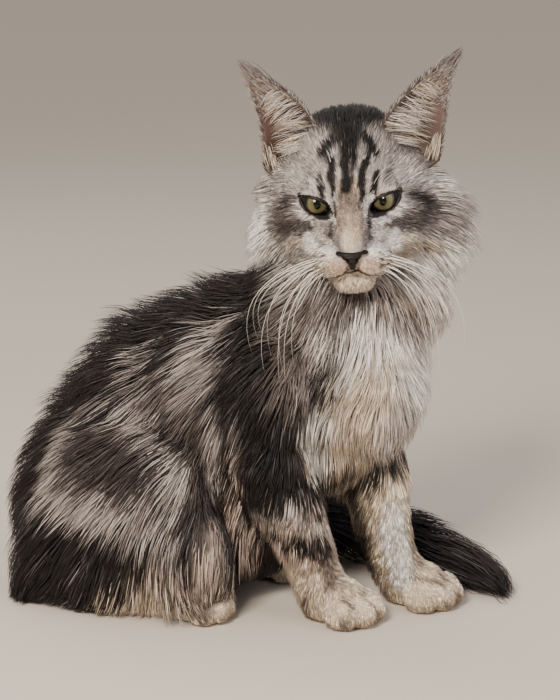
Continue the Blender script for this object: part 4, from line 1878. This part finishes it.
@dataclass
class Eye:
    """One eyeball under its lids."""

    side: int
    anatomy: Anatomy
    cornea: float = 0.9
    cornea_radius: float = 8.2
    inward: float = 0.1
    upward: float = 0.12

    def build(self, material: Material) -> Object:
        """The ball, with a low dome where the cornea is and a map of its gaze."""
        mesh = bmesh.new()
        bmesh.ops.create_uvsphere(mesh, u_segments=64, v_segments=40, radius=EYE_RADIUS)
        bmesh.ops.rotate(mesh, verts=mesh.verts, matrix=Matrix.Rotation(math.radians(-90.0), 3, "X"))
        layer = mesh.loops.layers.uv.new("gaze")
        for face in mesh.faces:
            for loop in face.loops:
                x, y, z = loop.vert.co / EYE_RADIUS
                flat = math.hypot(x, z)
                far = flat if y > 0.0 else 2.0 - flat
                scale = far / flat if flat > 1e-6 else 1.0
                loop[layer].uv = (x * scale + self.side * self.inward, z * scale - self.upward)
        for vert in mesh.verts:
            flat = math.hypot(vert.co.x, vert.co.z) / self.cornea_radius
            if vert.co.y > 0.0 and flat < 1.0:
                vert.co.y += self.cornea * (1.0 - flat * flat) ** 2
        seat = Matrix.Translation((self.side * EYE_OFFSET, EYE_DEPTH, 0.0))
        bmesh.ops.transform(mesh, verts=mesh.verts, matrix=self.anatomy.head_to_packed @ seat)
        return dress(link(mesh, f"eyeball_{SIDE_NAMES[self.side]}"), material)


def tube(mesh: BMesh, path: list[Vector], radii: list[float], corners: int, closed: bool) -> None:
    """Sweeps a round section along a path, by extruding one ring from place to place.

    Args:
        mesh: The bmesh that it is added to.
        path: Its places.
        radii: Its radius at each place.
        corners: Corners of the section.
        closed: Whether it runs back into itself.
    """
    count = len(path)
    rings = []
    for index, place in enumerate(path):
        before = path[(index - 1) % count] if closed or index > 0 else path[0]
        after = path[(index + 1) % count] if closed or index < count - 1 else path[-1]
        turn = (after - before).to_track_quat("Z", "Y").to_matrix().to_4x4()
        made = bmesh.ops.create_circle(mesh, cap_ends=False, segments=corners, radius=radii[index],
                                       matrix=Matrix.Translation(place) @ turn)
        rings.append(made["verts"])
    pairs = list(zip(rings, rings[1:])) + ([(rings[-1], rings[0])] if closed else [])
    for low, high in pairs:
        for corner in range(corners):
            after = (corner + 1) % corners
            mesh.faces.new((low[corner], low[after], high[after], high[corner]))
    if not closed:
        mesh.faces.new(rings[0])
        mesh.faces.new(rings[-1])
    bmesh.ops.recalc_face_normals(mesh, faces=mesh.faces)


@dataclass
class Lids:
    """Dark rims of the lids of one eye, which hug the eyeball."""

    side: int
    anatomy: Anatomy
    radius: float = 0.85
    gap: float = 0.35
    steps: int = 5

    def rim(self) -> list[Vector]:
        """A smooth closed line round the opening, on the eyeball."""
        points = [Vector((across, 0.0, height)) for across, height in LID_LINE]
        reach = (EYE_RADIUS + self.gap) ** 2
        path = []
        count = len(points)
        for index in range(count):
            p0, p1, p2, p3 = (points[(index + step) % count] for step in (-1, 0, 1, 2))
            for step in range(self.steps):
                t = step / self.steps
                place = 0.5 * (2 * p1 + (p2 - p0) * t + (2 * p0 - 5 * p1 + 4 * p2 - p3) * t * t
                               + (3 * p1 - p0 - 3 * p2 + p3) * t ** 3)
                flat = place.x ** 2 + place.z ** 2
                y = math.sqrt(max(reach - flat, 1.0)) + EYE_DEPTH
                path.append(Vector((self.side * (EYE_OFFSET + place.x), y, place.z)))
        return path

    def build(self, material: Material) -> Object:
        """Builds the rim."""
        path = self.rim()
        radii = []
        for place in path:
            upper = smooth_step(-3.0, 4.0, np.array([place.z]))[0]
            radii.append(self.radius * (0.8 + 0.45 * upper))
        mesh = bmesh.new()
        tube(mesh, path, radii, 10, True)
        bmesh.ops.transform(mesh, verts=mesh.verts, matrix=self.anatomy.head_to_packed)
        return dress(link(mesh, f"lid_rim_{SIDE_NAMES[self.side]}"), material, Hue.JET)


@dataclass
class Nose:
    """Nose leather with its nostrils."""

    anatomy: Anatomy
    voxel: float = 0.45
    rounds: int = 4

    def build(self, material: Material) -> Object:
        """Melts the pad from eggs and cuts its nostrils."""
        lumps = [
            egg((0.5, 36.2, -23.0), (8.8, 3.1, 1.4)), egg((0.3, 37.3, -24.8), (6.2, 3.4, 2.2)),
            egg((0, 37.7, -27.2), (3.8, 3.2, 2.6)), egg((0, 37.6, -30.0), (2.1, 3.0, 2.8)),
            *both((7.8, 34.6, -22.9), (2.4, 2.8, 1.2)),
        ]
        piece = clay("nose_leather", lumps, self.voxel, self.rounds)
        mesh = bmesh.new()
        for side in SIDES.values():
            for lump in (egg((side * 3.2, 40.4, -26.0), (1.2, 2.6, 0.9), 20.0),
                         egg((side * 5.2, 38.8, -25.4), (1.9, 2.0, 0.5))):
                bmesh.ops.create_icosphere(mesh, subdivisions=3, radius=1.0, matrix=lump)
        combine(piece, [link(mesh, "nostrils")], "DIFFERENCE", "MANIFOLD")
        piece.data.transform(self.anatomy.head_to_packed)
        return dress(piece, material)


@dataclass
class Lips:
    """Dark line of the mouth, laid in the parting of the short fur."""

    anatomy: Anatomy
    surface: Surface
    radius: float = 0.6

    def build(self, material: Material) -> Object:
        """Builds the middle line and both corners of the mouth."""
        mesh = bmesh.new()
        for side in SIDES.values():
            rows = self.anatomy.from_head(np.array(MOUTH_LINE) * (side, 1.0, 1.0))
            found, faces = self.surface.nearest(rows)
            path = [Vector(row) for row in found + self.surface.normals[faces] * 0.5]
            if side < 0:
                path = path[2:]
            radii = [self.radius] * (len(path) - 1) + [self.radius * 0.4]
            radii[:2] = [self.radius * 0.5] * 2
            tube(mesh, path, radii, 8, False)
        bmesh.ops.transform(mesh, verts=mesh.verts, matrix=self.anatomy.to_packed)
        return dress(link(mesh, "lips"), material, Hue.UMBER)


@dataclass
class Whiskers:
    """Long white whiskers on the pads, and a few shorter ones over the eyes."""

    anatomy: Anatomy
    rows: int = 3
    per_row: int = 3
    brow_count: int = 3
    stations: int = 12
    tip_radius: float = 0.05

    def hair(self, mesh: BMesh, root: Vector, way: Vector, sag: Vector, length: float,
             radius: float) -> None:
        """One curved tapered whisker.

        Args:
            mesh: The bmesh that it is added to.
            root: Its root, in the head's frame.
            way: The direction that it sets out in.
            sag: The vector that its tip is bent by.
            length: Its length.
            radius: Its radius at the root.
        """
        shares = [index / (self.stations - 1) for index in range(self.stations)]
        path = [root + way * (length * share) + sag * share ** 2 for share in shares]
        radii = [max(radius * (1.0 - share) ** 0.8, self.tip_radius) for share in shares]
        tube(mesh, path, radii, 5, False)

    def build(self, material: Material) -> Object:
        """Builds all of them."""
        rng = random.Random(SEED)
        mesh = bmesh.new()
        for side in SIDES.values():
            for row in range(self.rows):
                for place in range(self.per_row):
                    root = Vector((side * (15.0 + 3.2 * place), 32.5 - 2.4 * place, -27.0 - 3.4 * row))
                    reach = rng.uniform(44.0, 54.0) - 9.0 * row
                    drop = rng.uniform(38.0, 62.0) + 16.0 * row + 5.0 * place
                    way = Vector((side * 2.2 * reach, rng.uniform(2.0, 10.0), -0.4 * drop))
                    sag = Vector((-side * 1.3 * reach, -rng.uniform(24.0, 34.0), -0.6 * drop))
                    self.hair(mesh, root, way, sag, 1.0, 0.26)
            for index in range(self.brow_count):
                root = Vector((side * (15.0 + 3.0 * index), 9.0 - 2.0 * index, 12.0))
                way = Vector((side * (0.3 + 0.15 * index), 0.55, 0.8)).normalized()
                sag = Vector((side * 5.0, -3.0, -7.0))
                self.hair(mesh, root, way, sag, rng.uniform(22.0, 34.0), 0.14)
        bmesh.ops.transform(mesh, verts=mesh.verts, matrix=self.anatomy.head_to_packed)
        return dress(link(mesh, "whiskers"), material)


@dataclass(frozen=True)
class Lamp:
    """A soft square light.

    Its place is given from the target, in metres towards the camera, to the camera's right and up. Its power
    is in watts and its size in metres.
    """

    name: str
    ahead: float
    aside: float
    above: float
    size: float
    power: float
    code: str


LAMPS = (
    Lamp("key", 1.5, -0.45, 1.0, 0.5, 50.0, "fff3e4"),
    Lamp("fill", 0.9, 1.4, 0.7, 1.4, 12.0, "f6f4fa"),
    Lamp("rim", -1.0, -0.6, 1.2, 1.4, 7.0, "ffffff"),
)


@dataclass
class Studio:
    """Pale floor, soft lights and the camera.

    Across and height say where the camera looks, in metres from the working frame's origin.
    """

    anatomy: Anatomy
    azimuth: float = math.radians(-60.0)
    elevation: float = math.radians(12.0)
    distance: float = 1.6
    lens: float = 124.675
    across: float = 0.0264
    height: float = 0.16566
    floor_size: float = 40.0
    glow: float = 0.85
    glow_code: str = "d9d2ca"

    def aim(self, piece: Object, place: Vector, target: Vector) -> None:
        """Puts a light or camera at a place and turns it to a target."""
        piece.location = place
        piece.rotation_euler = (target - place).to_track_quat("-Z", "Y").to_euler()

    def light(self, lamp: Lamp, place: Vector, target: Vector) -> None:
        """Hangs a light at a place and points it at the target."""
        data = bpy.data.lights.new(lamp.name, "AREA")
        data.size = lamp.size
        data.energy = lamp.power
        data.color = linear(lamp.code)[:3]
        piece = bpy.data.objects.new(lamp.name, data)
        bpy.context.scene.collection.objects.link(piece)
        self.aim(piece, place, target)

    def build(self) -> None:
        """Builds the floor, lights, backdrop colour and camera."""
        mesh = bmesh.new()
        bmesh.ops.create_grid(mesh, x_segments=2, y_segments=2, size=self.floor_size)
        floor = link(mesh, "studio_floor")
        floor.data.materials.append(FloorFinish().make())
        world = bpy.data.worlds.new("studio")
        bpy.context.scene.world = world
        world.use_nodes = True
        world.node_tree.nodes.clear()
        glow = add_node(world.node_tree, "ShaderNodeBackground",
                        {"Color": linear(self.glow_code), "Strength": self.glow})
        add_node(world.node_tree, "ShaderNodeOutputWorld", links={"Surface": glow.outputs[0]})
        back = Vector((math.sin(self.azimuth) * math.cos(self.elevation),
                       -math.cos(self.azimuth) * math.cos(self.elevation), math.sin(self.elevation)))
        right = Vector((math.cos(self.azimuth), math.sin(self.azimuth), 0.0))
        up = back.cross(right)
        target = (right * self.across + up * self.height) - self.anatomy.shift * MM
        data = bpy.data.cameras.new("camera")
        data.lens = self.lens
        camera = bpy.data.objects.new("camera", data)
        bpy.context.scene.collection.objects.link(camera)
        self.aim(camera, target + back * self.distance, target)
        bpy.context.scene.camera = camera
        flat = Vector((back.x, back.y, 0.0)).normalized()
        for lamp in LAMPS:
            place = target + flat * lamp.ahead + right * lamp.aside + UPRIGHT * lamp.above
            self.light(lamp, place, target)


SKIN_SHADE = 0.8
LID_SKIN = 1.02


class Cat:
    """The whole cat, built piece by piece."""

    FLESH = ("head", "neck", "torso", "ear_left", "ear_right", "foreleg_left", "foreleg_right",
             "forepaw_left", "forepaw_right", "hindleg_left", "hindleg_right", "hindfoot_left",
             "hindfoot_right", "tail_root", "tail_middle", "tail_tip")
    SLOTS = {Part.HEAD: "face", Part.NECK: "bib", Part.TAIL: "dark_coat", Part.FOREPAW_RIGHT: "paw",
             Part.FOREPAW_LEFT: "paw", Part.HINDFOOT_RIGHT: "paw", Part.HINDFOOT_LEFT: "paw"}

    def __init__(self) -> None:
        """Sets up the frames, the coat's lie and the markings."""
        self.anatomy = Anatomy()
        self.field = LieField(self.anatomy)
        self.markings = Markings(self.anatomy)

    def add(self, piece: Object, slot: str) -> None:
        """Hangs a piece on the body and reports it."""
        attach(piece, "root")
        LOG.info("%s: %d faces", piece.name, len(piece.data.polygons))

    def ear_colours(self, surface: Surface, rows: np.ndarray, colours: np.ndarray) -> None:
        """Colours the ears' bare skin: rosy brown in the cup, darker in its hollow and at the tip.

        Args:
            surface: The skin's arrays.
            rows: The vertices that are on the ears.
            colours: Linear colours with alpha, changed in place.
        """
        local = self.anatomy.into_head(surface.verts[rows])
        normals = surface.vert_normals[rows] @ self.anatomy.turn
        rose, dark, back = (np.array(linear(hue.value)[:3]) for hue in (Hue.ROSE, Hue.UMBER, Hue.SMOKE))
        for side in SIDES.values():
            ear = EarShape(side)
            mine = np.sign(local[:, 0]) == side
            away = local[mine] - np.array(ear.base)
            high = away @ np.array(ear.axis) / ear.height
            aside = -(away @ np.array(ear.across)) / ear.half_width
            hollow = smooth_step(0.45, 0.1, high) * smooth_step(-0.4, 0.3, aside)
            share = np.maximum(smooth_step(0.6, 1.0, high), hollow)
            made = rose + (dark - rose) * share[:, None] * 0.85
            inside = smooth_step(0.0, 0.35, normals[mine] @ np.array(ear.facing))[:, None]
            colours[rows[mine], :3] = back + (made - back) * inside

    def paint(self, skin: Object, surface: Surface) -> None:
        """Colours the skin under the coat, a little darker than the coat and black round the eyes.

        Args:
            skin: The skin's object.
            surface: Its arrays.
        """
        labels = np.zeros(len(surface.verts), int)
        for corner in range(3):
            labels[surface.faces[:, corner]] = surface.labels
        colours = np.ones((len(labels), 4))
        colours[:, :3] = self.markings.at(surface.verts, labels) * SKIN_SHADE
        lids = (labels == Part.HEAD.value) & eye_zone(self.anatomy.into_head(surface.verts), LID_SKIN)
        colours[lids] = linear(Hue.JET.value)
        self.ear_colours(surface, np.flatnonzero(labels == Part.EAR.value), colours)
        write_colours(skin.data, colours)

    def build(self) -> None:
        """Builds every piece in order."""
        hair, undercoat, bare = HairFinish().make(), UndercoatFinish().make(), BareSkinFinish().make()
        maker = Skin(self.anatomy)
        skin = maker.build()
        surface = Surface(skin, maker.labels, maker.flesh)
        self.markings.lay(surface)
        self.paint(skin, surface)
        skin.data.materials.append(undercoat)
        skin.data.materials.append(bare)
        numbers = np.zeros(len(skin.data.polygons), np.int32)
        numbers[maker.flesh:] = 1
        skin.data.polygons.foreach_set("material_index", numbers)
        skin.data.transform(self.anatomy.to_packed)
        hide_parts(*self.FLESH)
        self.add(skin, "coat")
        thickness = 1.0
        coat = Coat(self.anatomy, surface, self.field, self.markings, thickness)
        for piece in coat.build(hair):
            part = Part[piece.name[5:].rsplit("_", 1)[0].upper()]
            self.add(piece, self.SLOTS.get(part, "coat"))
        eye_finish = EyeFinish().make()
        for word, side in SIDES.items():
            for piece in EarCoat(side, self.anatomy, surface).build(hair):
                self.add(piece, "ear")
            eye = Eye(side, self.anatomy).build(eye_finish)
            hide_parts(f"eye_{word}")
            self.add(eye, "eye")
            self.add(Lids(side, self.anatomy).build(bare), "face")
        self.add(Nose(self.anatomy).build(LeatherFinish().make()), "face")
        self.add(Lips(self.anatomy, surface).build(bare), "face")
        self.add(Whiskers(self.anatomy).build(WhiskerFinish().make()), "face")


def main() -> None:
    """Builds the cat and its studio."""
    logging.basicConfig(level=logging.INFO, format="%(message)s")
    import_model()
    cat = Cat()
    cat.build()
    Studio(cat.anatomy).build()


if __name__ == "__main__":
    main()
